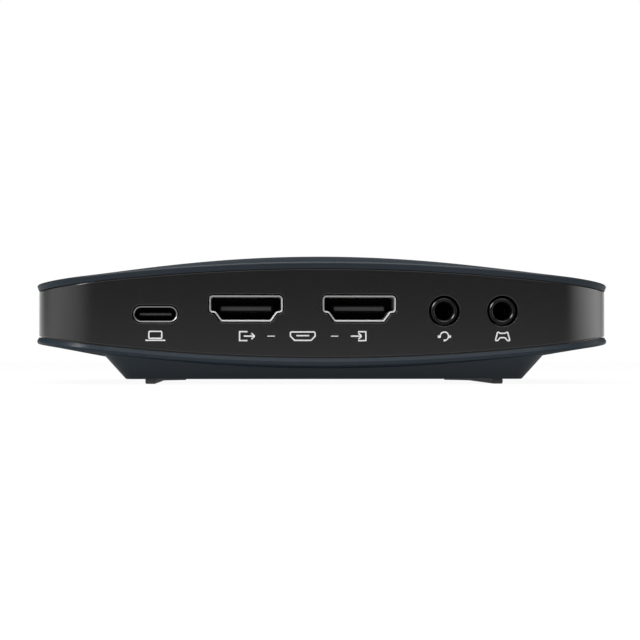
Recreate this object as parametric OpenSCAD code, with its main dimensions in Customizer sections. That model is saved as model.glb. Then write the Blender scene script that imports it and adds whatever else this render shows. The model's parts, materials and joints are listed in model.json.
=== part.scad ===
/* [Body] */
// Width across the covers, left to right
body_w = 120; // [112:1:140]
// Depth across the covers, rear to front
body_d = 70; // [64:1:90]
// Corner radius of the covers seen from above
corner_r = 16; // [10:1:22]
// Drop of each seam's arch from the middle to the sides
seam_sag = 4.4; // [2:0.1:6]
// Height of the lower seam at the middle
low_seam_z = 5.3; // [4.6:0.1:6]
// Height of the upper seam at the middle
high_seam_z = 23.55; // [22.5:0.05:27]

/* [Covers] */
// Height of the top cover's rim
top_rim_h = 1.32; // [1.1:0.01:2.2]
// Height of the bottom cover's rim
low_rim_h = 1.35; // [1.2:0.05:2.2]
// Rise of the top cover's crest above its rim
crown = 2.54; // [1.8:0.01:4]
// Fall of the bottom cover's belly below its rim
belly = 2.75; // [1.5:0.05:2.8]
// Wall of the top cover
cover_wall = 1.6; // [1:0.1:1.8]
// Distance from the outline to the hollow under the crown
pocket_inset = 9; // [8:0.5:14]
// Thickness of the skirts that locate the covers inside the band
skirt_t = 1; // [0.6:0.1:1.4]
// Reach of the skirts past the seams
skirt_h = 2; // [1:0.1:2.5]
// Clearance between a skirt and the band
skirt_gap = 0.1; // [0.05:0.05:0.3]

/* [Band] */
// Overhang of the covers past the band
band_step = 0.4; // [0.2:0.1:1]
// Wall of the band
band_wall = 2; // [1.6:0.1:2.6]
// Height of the shadow gap along the upper seam
high_reveal = 0.1; // [0.05:0.05:0.3]
// Height of the shadow gap along the lower seam
low_reveal = 0.2; // [0.1:0.05:0.5]
// Depth of the shadow gap along each seam
reveal_depth = 0.4; // [0.3:0.1:1.4]

/* [Base] */
// Width of the base's flat underside
base_w = 82; // [74:1:88]
// Depth of the base's flat underside
base_d = 56; // [50:1:58]
// Slant of the base's sides from upright, in degrees
base_slant = 42; // [20:1:45]
// Wall and floor of the base
base_wall = 1.8; // [1.2:0.1:2.4]

/* [Feet] */
// Width of a foot strip
foot_w = 2.2; // [1.6:0.1:4]
// Height of a foot strip below the base
foot_h = 1; // [0.6:0.1:1.6]
// Depth of the groove that holds a foot
foot_seat = 0.4; // [0.2:0.1:0.6]
// Clearance between a foot's sides and its groove
foot_gap = 0.05; // [0.02:0.01:0.2]
// Distance from the base's edge to a foot's centre line
foot_edge = 5.1; // [4:0.1:6]
// Distance from the base's rear edge to a foot's rear end
foot_rear = 1; // [0.6:0.1:4]
// Length of a foot's straight run
foot_run = 40; // [30:1:42]
// Radius of a foot's bend at the centre line
foot_bend_r = 11; // [8:0.5:14]
// Angle that a foot bends through
foot_bend_a = 58; // [30:1:70]

/* [Sockets] */
// Place of the data socket from the middle
data_x = -34.6; // [-38:0.1:-31]
// Place of the video output socket from the middle
video_out_x = -16.3; // [-19:0.1:-13]
// Place of the video input socket from the middle
video_in_x = 6.7; // [4:0.1:9]
// Place of the headset jack from the middle
headset_x = 24; // [20:0.1:25]
// Place of the controller jack from the middle
controller_x = 35.9; // [34:0.1:40]
// Gap between a socket and its cut-out in the band
socket_gap = 0.25; // [0.1:0.05:0.5]
// Setback of the shells from the band's outer face
shell_setback = 0.15; // [0:0.05:0.6]
// Setback of the tongues from the shells' mouths
tongue_setback = 1.9; // [1:0.1:3]
// Clearance between a tongue's base block and its shell
block_gap = 0.05; // [0.02:0.01:0.1]
// Length of a tongue's base block
block_len = 2.4; // [1.5:0.1:4]
// Thickness of a contact strip
contact_t = 0.08; // [0.05:0.01:0.15]
// Setback of the contact strips from a tongue's front
contact_setback = 0.7; // [0.3:0.1:1]

/* [Video sockets] */
// Outer width of a video shell
video_w = 14.9; // [14.6:0.1:15.4]
// Outer height of a video shell
video_h = 5.3; // [5.2:0.1:5.8]
// Width of a video shell's narrow side
video_foot_w = 10.1; // [9:0.1:11]
// Height of a video shell's upright sides
video_side_h = 3.5; // [3:0.1:3.8]
// Width of the ledge below the upright sides
video_ledge = 1.1; // [0.6:0.1:1.6]
// Sheet thickness of a video shell
video_sheet = 0.35; // [0.25:0.05:0.4]
// Length of a video shell
video_len = 11.2; // [9:0.1:13]
// Height of a video shell above the board
video_lift = 0.35; // [0.2:0.05:1]
// Width of a video tongue
video_tongue_w = 10.6; // [10:0.1:11]
// Thickness of a video tongue
video_tongue_t = 1.2; // [0.9:0.1:1.5]
// Contacts on the upper face of a video tongue
video_contacts = 10; // [10:1:10]
// Pitch of the contacts on one face
video_pitch = 1; // [1:0.1:1]
// Width of a video contact
video_contact_w = 0.45; // [0.3:0.05:0.6]
// Length of a video contact
video_contact_len = 5; // [3:0.1:6]
// Width of a shell's solder tab
tab_w = 1.2; // [0.8:0.1:1.6]
// Length of a shell's solder tab
tab_len = 1.8; // [1:0.1:2.4]

/* [Data socket] */
// Outer width of the data shell
data_w = 8.94; // [8.9:0.01:9.2]
// Outer height of the data shell
data_h = 3.26; // [3.2:0.01:3.5]
// Sheet thickness of the data shell
data_sheet = 0.3; // [0.2:0.05:0.35]
// Length of the data shell
data_len = 8; // [7:0.1:10]
// Height of the data shell above the board
data_lift = 0.2; // [0.1:0.05:0.6]
// Width of the data tongue
data_tongue_w = 6.69; // [6.6:0.01:6.8]
// Thickness of the data tongue
data_tongue_t = 0.7; // [0.6:0.05:0.8]
// Setback of the data tongue from its shell's mouth
data_setback = 1; // [0.6:0.1:1.6]
// Contacts on each face of the data tongue
data_contacts = 12; // [12:1:12]
// Pitch of the data contacts
data_pitch = 0.5; // [0.5:0.1:0.5]
// Width of a data contact
data_contact_w = 0.25; // [0.2:0.05:0.3]
// Length of a data contact
data_contact_len = 3.6; // [2:0.1:4]

/* [Jacks] */
// Bore that takes the plug
jack_bore_d = 3.6; // [3.55:0.05:3.65]
// Length of the plain bore behind the mouth
jack_guide = 2.8; // [2.4:0.1:3]
// Step on the radius from the bore out to the contact chamber
jack_step = 0.2; // [0.2:0.05:0.3]
// Diameter of the jack's nose
jack_nose_d = 4.9; // [4.7:0.1:4.9]
// Length of the nose in front of the housing
jack_nose_len = 0.7; // [0.5:0.1:1]
// Chamfer of the nose's edges
jack_chamfer = 0.25; // [0.1:0.05:0.25]
// Diameter of a jack's hole in the band
jack_hole_d = 6.3; // [6:0.1:6.6]
// Width of a jack housing
jack_w = 6.2; // [6:0.1:7]
// Height of a jack housing
jack_h = 5; // [5:0.1:6]
// Length of a jack from its nose to its back
jack_len = 12.9; // [12.7:0.1:13.5]
// Gap between a jack's nose and the band's inner face
jack_wall_gap = 0.1; // [0.05:0.05:0.4]
// Thickness of a jack's back wall
jack_back = 0.7; // [0.4:0.05:1]
// Thickness of a spring leaf
leaf_t = 0.25; // [0.2:0.05:0.3]
// Width of a spring leaf
leaf_w = 1.2; // [0.8:0.1:1.4]
// Room beside and beyond a leaf in its slot
leaf_room = 0.2; // [0.1:0.05:0.4]
// Reach of the tip spring from its pivot
tip_reach = 6.8; // [6:0.1:7]
// Reach of the ring and sleeve springs from their pivots
ring_reach = 5; // [4:0.1:5.4]
// Distance from the nose to the spring pivots
pivot_depth = 3.8; // [3.8:0.1:4]
// Radius of a spring's rolled pivot
pivot_r = 0.35; // [0.3:0.05:0.45]
// Length of a spring's rolled pivot
pivot_len = 2.4; // [2:0.1:2.8]
// Clearance round a rolled pivot
pivot_gap = 0.05; // [0.02:0.01:0.1]
// Radius of the rolled contact at a leaf's end
roll_r = 0.6; // [0.5:0.05:0.7]
// Reach of the rolled contact into the plug's bore
roll_bite = 0.35; // [0.2:0.05:0.45]

/* [Board] */
// Height of the board's underside
board_z = 10.8; // [10:0.1:12]
// Thickness of the board
board_t = 1.6; // [1:0.1:2]
// Gap between the board's edge and the skirts
board_gap = 0.5; // [0.3:0.1:1.5]

/* [Screws] */
// Distance from the base's side edge to a screw
screw_edge = 10.8; // [9.5:0.1:12]
// Distance of the screws from the middle, rear and front
screw_y = 16; // [14:0.5:19]
// Shank diameter
screw_d = 2.4; // [2:0.1:2.6]
// Length of a screw below its head
screw_len = 14; // [10:0.5:16]
// Head diameter
screw_head_d = 4.4; // [4:0.1:4.6]
// Head height
screw_head_h = 1.8; // [1.4:0.1:2.2]
// Drive recess across
screw_drive_d = 1.8; // [1.4:0.1:2]
// Drive recess depth
screw_drive_h = 0.9; // [0.6:0.1:1]
// Height of the seat that a head bears on
screw_seat_z = 5; // [4:0.1:6]
// Radial clearance round a shank
screw_gap = 0.15; // [0.05:0.05:0.3]
// Radial clearance round a head
head_gap = 0.3; // [0.2:0.05:0.5]
// Wall round a screw's head or shank
boss_wall = 1.1; // [0.8:0.1:1.5]

/* [Electronics] */
// Gap between the jacks and the first row of chips
row_gap = 1.6; // [1:0.1:3]
// Distance from that row's start to the processor
processor_row = 24; // [22:0.5:26]
// Side of the video processor
processor_w = 17; // [14:0.5:20]
// Height of the video processor
processor_h = 1.5; // [1:0.1:2]
// Thickness of the thermal pad
pad_t = 0.5; // [0.3:0.1:1]
// Side of the heat sink
sink_w = 30; // [24:1:31]
// Thickness of the heat sink's plate
sink_plate = 2; // [1.5:0.1:3]
// Height of the heat sink's fins
sink_fin_h = 3.6; // [2:0.1:4]
// Thickness of one fin
sink_fin_t = 1.2; // [0.8:0.1:1.6]
// Count of fins
sink_fins = 9; // [5:1:10]
// Distance from the first row's start to its chips' middle
chip_row = 4; // [3.8:0.1:5]
// Side of the video receiver and driver chips
video_chip_w = 7; // [5:0.5:7.5]
// Height of the flat chips
chip_h = 0.9; // [0.6:0.1:1.2]
// Distance from the board's side edges to the outer columns of parts
column_edge = 11; // [10:0.5:12]
// Side of the data bridge chip
bridge_w = 6; // [5:0.5:7]
// Side of the audio chip
audio_w = 5; // [4:0.5:6]
// Width of a memory chip
memory_w = 7.4; // [6:0.1:7.6]
// Length of a memory chip
memory_len = 12; // [10:0.5:13]
// Place of the memory chips from the middle
memory_x = 20; // [20:0.1:21]
// Distance from the first row's start to the flash chip and the crystal
second_row = 14; // [13:0.5:15]
// Width of the flash chip
flash_w = 5; // [4:0.1:6]
// Length of the flash chip
flash_len = 6; // [5:0.1:7]
// Width of the clock crystal
crystal_w = 3.2; // [2.5:0.1:5]
// Length of the clock crystal
crystal_len = 5; // [3:0.1:6]
// Height of the clock crystal
crystal_h = 1.2; // [0.8:0.1:1.6]
// Distance from the first row's start to the first coil and can
power_row = 24; // [23:0.5:25]
// Spacing of the coils and the cans
power_pitch = 8; // [7.5:0.1:9]
// Side of a power coil
coil_w = 6; // [4:0.5:7]
// Height of a power coil
coil_h = 3; // [2:0.5:4]
// Diameter of a capacitor can
can_d = 5; // [4:0.1:6.3]
// Height of a capacitor can
can_h = 5.4; // [4:0.1:6]
// Thickness of a can's square foot
can_foot_t = 0.6; // [0.4:0.1:1]
// Count of coils, and of cans
power_count = 2; // [1:1:2]
// Count of small capacitors along the front edge
small_caps = 8; // [4:1:10]
// Spacing of the small capacitors
small_pitch = 4; // [3:0.5:5]
// Length of a small capacitor
small_len = 1.6; // [1:0.1:2]
// Width and height of a small capacitor
small_w = 0.8; // [0.5:0.1:1]
// Distance from the board's front edge to the small capacitors
small_edge = 5; // [4:0.5:6]

/* [Status light] */
// Width of the light window in the front
light_w = 24; // [16:1:40]
// Height of the light window
light_h = 1.4; // [1:0.1:1.4]
// Clearance round the light window
light_gap = 0.05; // [0.02:0.01:0.2]
// Width of the flange round the window, inside
light_flange = 1.2; // [0.8:0.1:1.5]
// Thickness of the flange
light_flange_t = 0.9; // [0.6:0.1:1]
// Length of a light emitter along the board's edge
led_w = 3; // [2:0.1:4]
// Depth of a light emitter
led_d = 1.2; // [0.8:0.1:1.6]
// Height of a light emitter
led_h = 1.4; // [1:0.1:1.4]
// Distance from the board's front edge to an emitter's face
led_edge = 0.2; // [0:0.1:1]
// Spacing of the two emitters
led_pitch = 12; // [8:1:16]

/* [Hidden] */
$fn = 96;
arch_fn = 1440;
crown_cols = 24;
crown_rows = 14;
hex_sides = 6;
cut = 1;
tall = 60;

half_w = body_w / 2;
half_d = body_d / 2;
arch_r = (half_w * half_w + seam_sag * seam_sag) / (2 * seam_sag);
rim_top_z = high_seam_z + top_rim_h;
rim_low_z = low_seam_z - low_rim_h;
band_inset = band_step + band_wall;
skirt_inset = band_inset + skirt_gap;
hollow_inset = skirt_inset + skirt_t;
board_inset = hollow_inset + board_gap;
board_top = board_z + board_t;
board_front = half_d - board_inset;
column_x = half_w - board_inset - column_edge;

panel_y = band_step - half_d;
panel_in_y = band_inset - half_d;
shell_y = panel_y + shell_setback;
nose_y = panel_in_y + jack_wall_gap;
data_z = board_top + data_lift + data_h / 2;
video_z = board_top + video_lift + video_h / 2;
jack_z = board_top + jack_h / 2;
light_z = board_top + led_h / 2;
pivot_z = jack_bore_d / 2 - roll_bite + roll_r + leaf_t / 2;

screw_x = base_w / 2 - screw_edge;
screw_spots = [for (sx = [-1, 1], sy = [-1, 1]) [sx * screw_x, sy * screw_y]];
boss_r = screw_d / 2 + screw_gap + boss_wall;
head_boss_r = screw_head_d / 2 + head_gap + boss_wall;
screw_tip_z = screw_seat_z + screw_len;

foot_x = base_w / 2 - foot_edge;
foot_end_y = foot_rear - base_d / 2;
row_y = nose_y + jack_len + row_gap;

// Drop of a seam's arch at a distance from the middle
function arch_drop(x) = arch_r - sqrt(arch_r * arch_r - x * x);

// Share of a cover's crown at a place: full in the middle, none at all four sides
function crown_share(x, y) = (1 - pow(y / half_d, 2)) * (1 - pow(x / half_w, 2));

// Point of a video shell's slanted side at height z, moved inwards by g
function slant_x(z, g) =
    let (
        top = [video_w / 2 - video_ledge, video_h / 2 - video_side_h],
        end = [video_foot_w / 2, -video_h / 2],
        run = norm(top - end) / (top[1] - end[1])
    )
    end[0] + (top[0] - end[0]) * (z - end[1]) / (top[1] - end[1]) - g * run;

// Box centred on x, standing on z, starting at y
module block(w, d, h, x = 0, y = 0, z = 0) {
    translate([x - w / 2, y, z]) cube([w, d, h]);
}

// Box centred on x and y, standing on z
module slab(w, d, h, x = 0, y = 0, z = 0) {
    translate([x - w / 2, y - d / 2, z]) cube([w, d, h]);
}

// Rod along Y, starting at y
module rod(r, len, x = 0, y = 0, z = 0) {
    translate([x, y, z]) rotate([-90, 0, 0]) cylinder(r = r, h = len);
}

// Cone along Y, starting at y
module cone(r1, r2, len, y) {
    translate([0, y, 0]) rotate([-90, 0, 0]) cylinder(r1 = r1, r2 = r2, h = len);
}

// Outline of the covers seen from above, moved inwards by inset
module outline(inset) {
    w = body_w - 2 * inset;
    d = body_d - 2 * inset;
    r = corner_r - inset;
    square([w - 2 * r, d], center = true);
    square([w, d - 2 * r], center = true);
    for (sx = [-1, 1], sy = [-1, 1])
        translate([sx * (w / 2 - r), sy * (d / 2 - r)]) circle(r);
}

module outline_block(inset) {
    linear_extrude(tall) outline(inset);
}

module outline_ring(outer, inner) {
    linear_extrude(tall) difference() {
        outline(outer);
        outline(inner);
    }
}

// Everything below an arch whose middle is at z
module below_arch(z) {
    translate([0, half_d + cut, z - arch_r])
        rotate([90, 0, 0]) cylinder(r = arch_r, h = body_d + 2 * cut, $fn = arch_fn);
}

// Everything above an upturned arch whose middle is at z
module above_arch(z) {
    translate([0, half_d + cut, z + arch_r])
        rotate([90, 0, 0]) cylinder(r = arch_r, h = body_d + 2 * cut, $fn = arch_fn);
}

// Everything between a floor and an arched surface that rises from its rim to its middle
module below_crown(rim_z, rise, floor_z) {
    wide = half_w + cut;
    deep = half_d + cut;
    function at(i, j) = i * (crown_rows + 1) + j;
    function spot(i, j) =
        let (x = wide * (2 * i / crown_cols - 1), y = deep * (2 * j / crown_rows - 1))
        [x, y, rim_z - arch_drop(x) + rise * crown_share(x, y)];
    tops = [for (i = [0 : crown_cols], j = [0 : crown_rows]) spot(i, j)];
    base = len(tops);
    floors = [for (c = [[-1, -1], [1, -1], [1, 1], [-1, 1]]) [c[0] * wide, c[1] * deep, floor_z]];
    cells = [for (i = [0 : crown_cols - 1], j = [0 : crown_rows - 1]) [i, j]];
    left = [for (c = cells) [at(c[0], c[1]), at(c[0], c[1] + 1), at(c[0] + 1, c[1] + 1)]];
    right = [for (c = cells) [at(c[0], c[1]), at(c[0] + 1, c[1] + 1), at(c[0] + 1, c[1])]];
    sides = [
        concat([base + 3], [for (j = [crown_rows : -1 : 0]) at(0, j)], [base]),
        concat([base + 1], [for (j = [0 : crown_rows]) at(crown_cols, j)], [base + 2]),
        concat([base], [for (i = [0 : crown_cols]) at(i, 0)], [base + 1]),
        concat([base + 2], [for (i = [crown_cols : -1 : 0]) at(i, crown_rows)], [base + 3])
    ];
    polyhedron(concat(tops, floors), concat(left, right, sides, [[base, base + 1, base + 2, base + 3]]));
}

// Everything below the top cover's surface, lowered by sink
module below_dome(sink) {
    below_crown(rim_top_z - sink, crown, board_top);
}

// Everything above the bottom cover's bellied underside
module above_belly() {
    mirror([0, 0, 1]) below_crown(-rim_low_z, belly, -board_z);
}

// Crowned lid with its hollow, locating skirt and four screw posts
module top_cover() {
    color("midnightblue") difference() {
        union() {
            difference() {
                intersection() {
                    outline_block(0);
                    below_dome(0);
                }
                below_arch(high_seam_z);
                intersection() {
                    outline_block(pocket_inset);
                    below_dome(cover_wall);
                }
            }
            difference() {
                intersection() {
                    outline_ring(skirt_inset, hollow_inset);
                    below_arch(high_seam_z + top_rim_h / 2);
                }
                below_arch(high_seam_z - skirt_h);
            }
            intersection() {
                for (p = screw_spots)
                    translate([p[0], p[1], board_top]) cylinder(r = boss_r, h = tall);
                below_dome(cover_wall / 2);
            }
        }
        for (p = screw_spots)
            translate([p[0], p[1], board_top - cut])
                cylinder(r = screw_d / 2 + screw_gap, h = screw_tip_z - board_top + 2 * cut);
    }
}

// Arched ring between the covers, with the sockets' cut-outs and the light window's slot
module port_band() {
    color("dimgray") difference() {
        union() {
            intersection() {
                outline_ring(band_step, band_inset);
                below_arch(high_seam_z - high_reveal);
                above_arch(low_seam_z + low_reveal);
            }
            intersection() {
                outline_ring(band_step + reveal_depth, band_inset);
                below_arch(high_seam_z);
                above_arch(low_seam_z);
            }
        }
        for (x = [video_out_x, video_in_x])
            video_prism(-socket_gap, band_wall + 2 * cut, x, panel_y - cut);
        data_prism(-socket_gap, band_wall + 2 * cut, panel_y - cut);
        for (x = [headset_x, controller_x])
            rod(jack_hole_d / 2, band_wall + 2 * cut, x, panel_y - cut, jack_z);
        slab(light_w, 2 * (band_wall + cut), light_h, 0, -panel_y, light_z - light_h / 2);
    }
}

// Flat-bottomed block with slanted sides, each side moved inwards by wall
module base_block(wall, z) {
    lean = tan(base_slant);
    top_z = low_seam_z + seam_sag + cut;
    in = wall / cos(base_slant);
    intersection() {
        base_prism(base_w / 2 - in, lean, z, top_z, body_d);
        rotate(90) base_prism(base_d / 2 - in, lean, z, top_z, body_w);
    }
}

// Prism along Y with two slanted sides, whose half width is measured at the foot strips' level
module base_prism(half, lean, z0, z1, len) {
    rotate([90, 0, 0]) linear_extrude(len, center = true)
        polygon([
            [-half - (z0 - foot_h) * lean, z0],
            [half + (z0 - foot_h) * lean, z0],
            [half + (z1 - foot_h) * lean, z1],
            [-half - (z1 - foot_h) * lean, z1]
        ]);
}

// Tray with its bellied wings, slanted base, locating skirt and four screw pillars
module bottom_cover() {
    color("midnightblue") difference() {
        union() {
            difference() {
                union() {
                    intersection() {
                        translate([0, 0, foot_h]) outline_block(0);
                        above_belly();
                    }
                    base_block(0, foot_h);
                }
                above_arch(low_seam_z);
                base_block(base_wall, foot_h + base_wall);
            }
            difference() {
                intersection() {
                    outline_ring(skirt_inset, hollow_inset);
                    above_arch(low_seam_z - low_rim_h / 2);
                }
                above_arch(low_seam_z + skirt_h);
            }
            for (p = screw_spots)
                translate([p[0], p[1], foot_h]) cylinder(r = head_boss_r, h = board_z - foot_h);
        }
        for (p = screw_spots)
            translate([p[0], p[1], 0]) {
                cylinder(r = screw_head_d / 2 + head_gap, h = screw_seat_z);
                cylinder(r = screw_d / 2 + screw_gap, h = board_z + cut);
            }
        for (side = [-1, 1])
            foot_strip(side, foot_gap);
    }
}

// One foot: a straight run that bends inwards at its front end, grown by gap
module foot_strip(side, gap) {
    w = foot_w + 2 * gap;
    end_a = gap / foot_bend_r * 180 / PI;
    mirror([side < 0 ? 1 : 0, 0, 0]) {
        slab(w, foot_run + gap, foot_h + foot_seat, foot_x, foot_end_y + (foot_run - gap) / 2);
        translate([foot_x - foot_bend_r, foot_end_y + foot_run, 0])
            rotate_extrude(angle = foot_bend_a + end_a)
                translate([foot_bend_r - w / 2, 0]) square([w, foot_h + foot_seat]);
    }
}

module foot_left() {
    color("black") foot_strip(-1, 0);
}

module foot_right() {
    color("black") foot_strip(1, 0);
}

// Four long screws that clamp the covers and the board together from below
module case_screws() {
    color("gray")
        for (p = screw_spots)
            translate([p[0], p[1], screw_seat_z]) difference() {
                union() {
                    translate([0, 0, -screw_head_h]) cylinder(r = screw_head_d / 2, h = screw_head_h);
                    cylinder(r = screw_d / 2, h = screw_len);
                }
                translate([0, 0, -screw_head_h - cut])
                    cylinder(r = screw_drive_d / 2, h = screw_drive_h + cut, $fn = hex_sides);
            }
}

// Circuit board with the screws' holes
module main_board() {
    color("darkslategray") difference() {
        translate([0, 0, board_z]) linear_extrude(board_t) outline(board_inset);
        for (p = screw_spots)
            translate([p[0], p[1], board_z - cut])
                cylinder(r = screw_d / 2 + screw_gap, h = board_t + 2 * cut);
    }
}

// Data socket's long round opening, moved inwards by g and extruded from y
module data_prism(g, len, y) {
    h = data_h - 2 * g;
    flat = data_w - data_h;
    block(flat, len, h, data_x, y, data_z - h / 2);
    for (side = [-1, 1])
        rod(h / 2, len, data_x + side * flat / 2, y, data_z);
}

module data_shell() {
    color("silver") {
        difference() {
            data_prism(0, data_len, shell_y);
            data_prism(data_sheet, data_len + 2 * cut, shell_y - cut);
        }
        for (side = [-1, 1])
            solder_tab(data_x + side * (data_w - data_h - tab_w) / 2, shell_y + data_len, data_lift);
    }
}

// Tab under the rear end of a shell, standing on the board
module solder_tab(x, end_y, lift) {
    block(tab_w, tab_len, lift, x, end_y - tab_len, board_top);
}

module data_tongue() {
    mouth = shell_y + data_setback;
    back = shell_y + data_len;
    color("black") {
        data_prism(data_sheet + block_gap, block_len, back - block_len);
        block(data_tongue_w, back - mouth, data_tongue_t, data_x, mouth, data_z - data_tongue_t / 2);
    }
}

// Row of contact strips lying on one face of a tongue
module contact_row(count, pitch, w, len, x, y, z) {
    for (i = [0 : count - 1])
        block(w, len, contact_t, x + (i - (count - 1) / 2) * pitch, y, z);
}

module data_contact_strips() {
    y = shell_y + data_setback + contact_setback;
    color("gold")
        for (z = [data_z + data_tongue_t / 2, data_z - data_tongue_t / 2 - contact_t])
            contact_row(data_contacts, data_pitch, data_contact_w, data_contact_len, data_x, y, z);
}

// Video socket's outline, moved inwards by g and extruded from y
module video_prism(g, len, x, y) {
    side = video_w / 2 - g;
    top = video_h / 2 - g;
    ledge = video_h / 2 - video_side_h + g;
    translate([x, y + len, video_z]) rotate([90, 0, 0]) linear_extrude(len)
        polygon([
            [-side, top], [-side, ledge], [-slant_x(ledge, g), ledge], [-slant_x(-top, g), -top],
            [slant_x(-top, g), -top], [slant_x(ledge, g), ledge], [side, ledge], [side, top]
        ]);
}

module video_shell(x) {
    color("silver") {
        difference() {
            video_prism(0, video_len, x, shell_y);
            video_prism(video_sheet, video_len + 2 * cut, x, shell_y - cut);
        }
        for (side = [-1, 1])
            solder_tab(x + side * (video_foot_w - tab_w) / 2, shell_y + video_len, video_lift);
    }
}

module video_tongue(x) {
    mouth = shell_y + tongue_setback;
    back = shell_y + video_len;
    color("black") {
        video_prism(video_sheet + block_gap, block_len, x, back - block_len);
        block(video_tongue_w, back - mouth, video_tongue_t, x, mouth, video_z - video_tongue_t / 2);
    }
}

module video_contact_strips(x) {
    y = shell_y + tongue_setback + contact_setback;
    upper = video_z + video_tongue_t / 2;
    lower = video_z - video_tongue_t / 2 - contact_t;
    color("gold") {
        contact_row(video_contacts, video_pitch, video_contact_w, video_contact_len, x, y, upper);
        contact_row(video_contacts - 1, video_pitch, video_contact_w, video_contact_len, x, y, lower);
    }
}

module video_out_shell() {
    video_shell(video_out_x);
}

module video_out_tongue() {
    video_tongue(video_out_x);
}

module video_out_contact_strips() {
    video_contact_strips(video_out_x);
}

module video_in_shell() {
    video_shell(video_in_x);
}

module video_in_tongue() {
    video_tongue(video_in_x);
}

module video_in_contact_strips() {
    video_contact_strips(video_in_x);
}

// Puts a jack's own frame, with its mouth at the origin and its bore along Y, in its place.
// The turn carries a spring from the top of the bore to one side.
module at_jack(x, turn) {
    translate([x, nose_y, jack_z]) rotate([0, turn, 0]) children();
}

// Housing with a chamfered nose, a plain guide bore, a wider chamber and the springs' slots
module jack_housing(x) {
    bore_r = jack_bore_d / 2;
    nose_r = jack_nose_d / 2;
    mouth = jack_chamfer + cut;
    color("black") difference() {
        at_jack(x, 0) {
            cone(nose_r - jack_chamfer, nose_r, jack_chamfer, 0);
            rod(nose_r, jack_guide - jack_chamfer, 0, jack_chamfer);
            block(jack_w, jack_len - jack_nose_len, jack_h, 0, jack_nose_len, -jack_h / 2);
        }
        at_jack(x, 0) {
            cone(bore_r + mouth, bore_r, mouth, -cut);
            rod(bore_r, jack_guide + cut, 0, -cut);
            rod(bore_r + jack_step, jack_len - jack_guide - jack_back, 0, jack_guide);
        }
        at_jack(x, 0) leaf_slot(tip_reach);
        for (turn = [-90, 90])
            at_jack(x, turn) leaf_slot(ring_reach);
    }
}

// Room that a spring needs in a housing: the leaf's slot, the pivot's groove and the way out
module leaf_slot(reach) {
    start = pivot_depth - pivot_r - leaf_room;
    len = pivot_r + reach + 2 * leaf_room;
    block(leaf_w + 2 * leaf_room, len, tall, 0, start, 0);
    block(pivot_len + 2 * leaf_room, len, tall, 0, start, pivot_z + pivot_r);
    translate([-pivot_len / 2 - leaf_room, pivot_depth, pivot_z]) rotate([0, 90, 0])
        cylinder(r = pivot_r + pivot_gap, h = pivot_len + 2 * leaf_room);
}

// Spring leaf with a rolled pivot at its root and a rolled contact at its end
module leaf(reach) {
    translate([-pivot_len / 2, pivot_depth, pivot_z]) rotate([0, 90, 0])
        cylinder(r = pivot_r, h = pivot_len);
    block(leaf_w, reach - roll_r, leaf_t, 0, pivot_depth, pivot_z - leaf_t / 2);
    translate([-leaf_w / 2, pivot_depth + reach - roll_r, jack_bore_d / 2 - roll_bite + roll_r])
        rotate([0, 90, 0]) cylinder(r = roll_r, h = leaf_w);
}

module jack_spring(x, turn, reach) {
    color("goldenrod") at_jack(x, turn) leaf(reach);
}

module headset_jack() {
    jack_housing(headset_x);
}

module headset_tip_spring() {
    jack_spring(headset_x, 0, tip_reach);
}

module headset_ring_spring() {
    jack_spring(headset_x, 90, ring_reach);
}

module headset_sleeve_spring() {
    jack_spring(headset_x, -90, ring_reach);
}

module controller_jack() {
    jack_housing(controller_x);
}

module controller_tip_spring() {
    jack_spring(controller_x, 0, tip_reach);
}

module controller_ring_spring() {
    jack_spring(controller_x, 90, ring_reach);
}

module controller_sleeve_spring() {
    jack_spring(controller_x, -90, ring_reach);
}

module video_processor() {
    color("darkslategray")
        slab(processor_w, processor_w, processor_h, 0, row_y + processor_row, board_top);
}

module thermal_pad() {
    color("lightblue")
        slab(processor_w, processor_w, pad_t, 0, row_y + processor_row, board_top + processor_h);
}

// Finned plate on the processor's pad
module heat_sink() {
    z = board_top + processor_h + pad_t;
    y = row_y + processor_row;
    step = (sink_w - sink_fin_t) / (sink_fins - 1);
    color("lightgray") {
        slab(sink_w, sink_w, sink_plate, 0, y, z);
        for (i = [0 : sink_fins - 1])
            slab(sink_fin_t, sink_w, sink_plate + sink_fin_h, (i - (sink_fins - 1) / 2) * step, y, z);
    }
}

module memory_chips() {
    color("black")
        for (side = [-1, 1])
            slab(memory_w, memory_len, chip_h, side * memory_x, row_y + processor_row, board_top);
}

module video_receiver_chip() {
    color("black") slab(video_chip_w, video_chip_w, chip_h, video_in_x, row_y + chip_row, board_top);
}

module video_driver_chip() {
    color("black") slab(video_chip_w, video_chip_w, chip_h, video_out_x, row_y + chip_row, board_top);
}

module data_bridge_chip() {
    color("black") slab(bridge_w, bridge_w, chip_h, -column_x, row_y + chip_row, board_top);
}

module audio_chip() {
    color("black") slab(audio_w, audio_w, chip_h, column_x, row_y + chip_row, board_top);
}

module flash_chip() {
    color("black") slab(flash_w, flash_len, chip_h, -column_x, row_y + second_row, board_top);
}

module clock_crystal() {
    color("silver") slab(crystal_w, crystal_len, crystal_h, column_x, row_y + second_row, board_top);
}

module power_coils() {
    color("dimgray")
        for (i = [0 : power_count - 1])
            slab(coil_w, coil_w, coil_h, -column_x, row_y + power_row + i * power_pitch, board_top);
}

// Round cans on square feet
module capacitor_cans() {
    color("silver")
        for (i = [0 : power_count - 1]) {
            y = row_y + power_row + i * power_pitch;
            slab(can_d, can_d, can_foot_t, column_x, y, board_top);
            translate([column_x, y, board_top]) cylinder(r = can_d / 2, h = can_h);
        }
}

module small_capacitors() {
    y = board_front - small_edge;
    color("tan")
        for (i = [0 : small_caps - 1])
            slab(small_w, small_len, small_w, (i - (small_caps - 1) / 2) * small_pitch, y, board_top);
}

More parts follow.
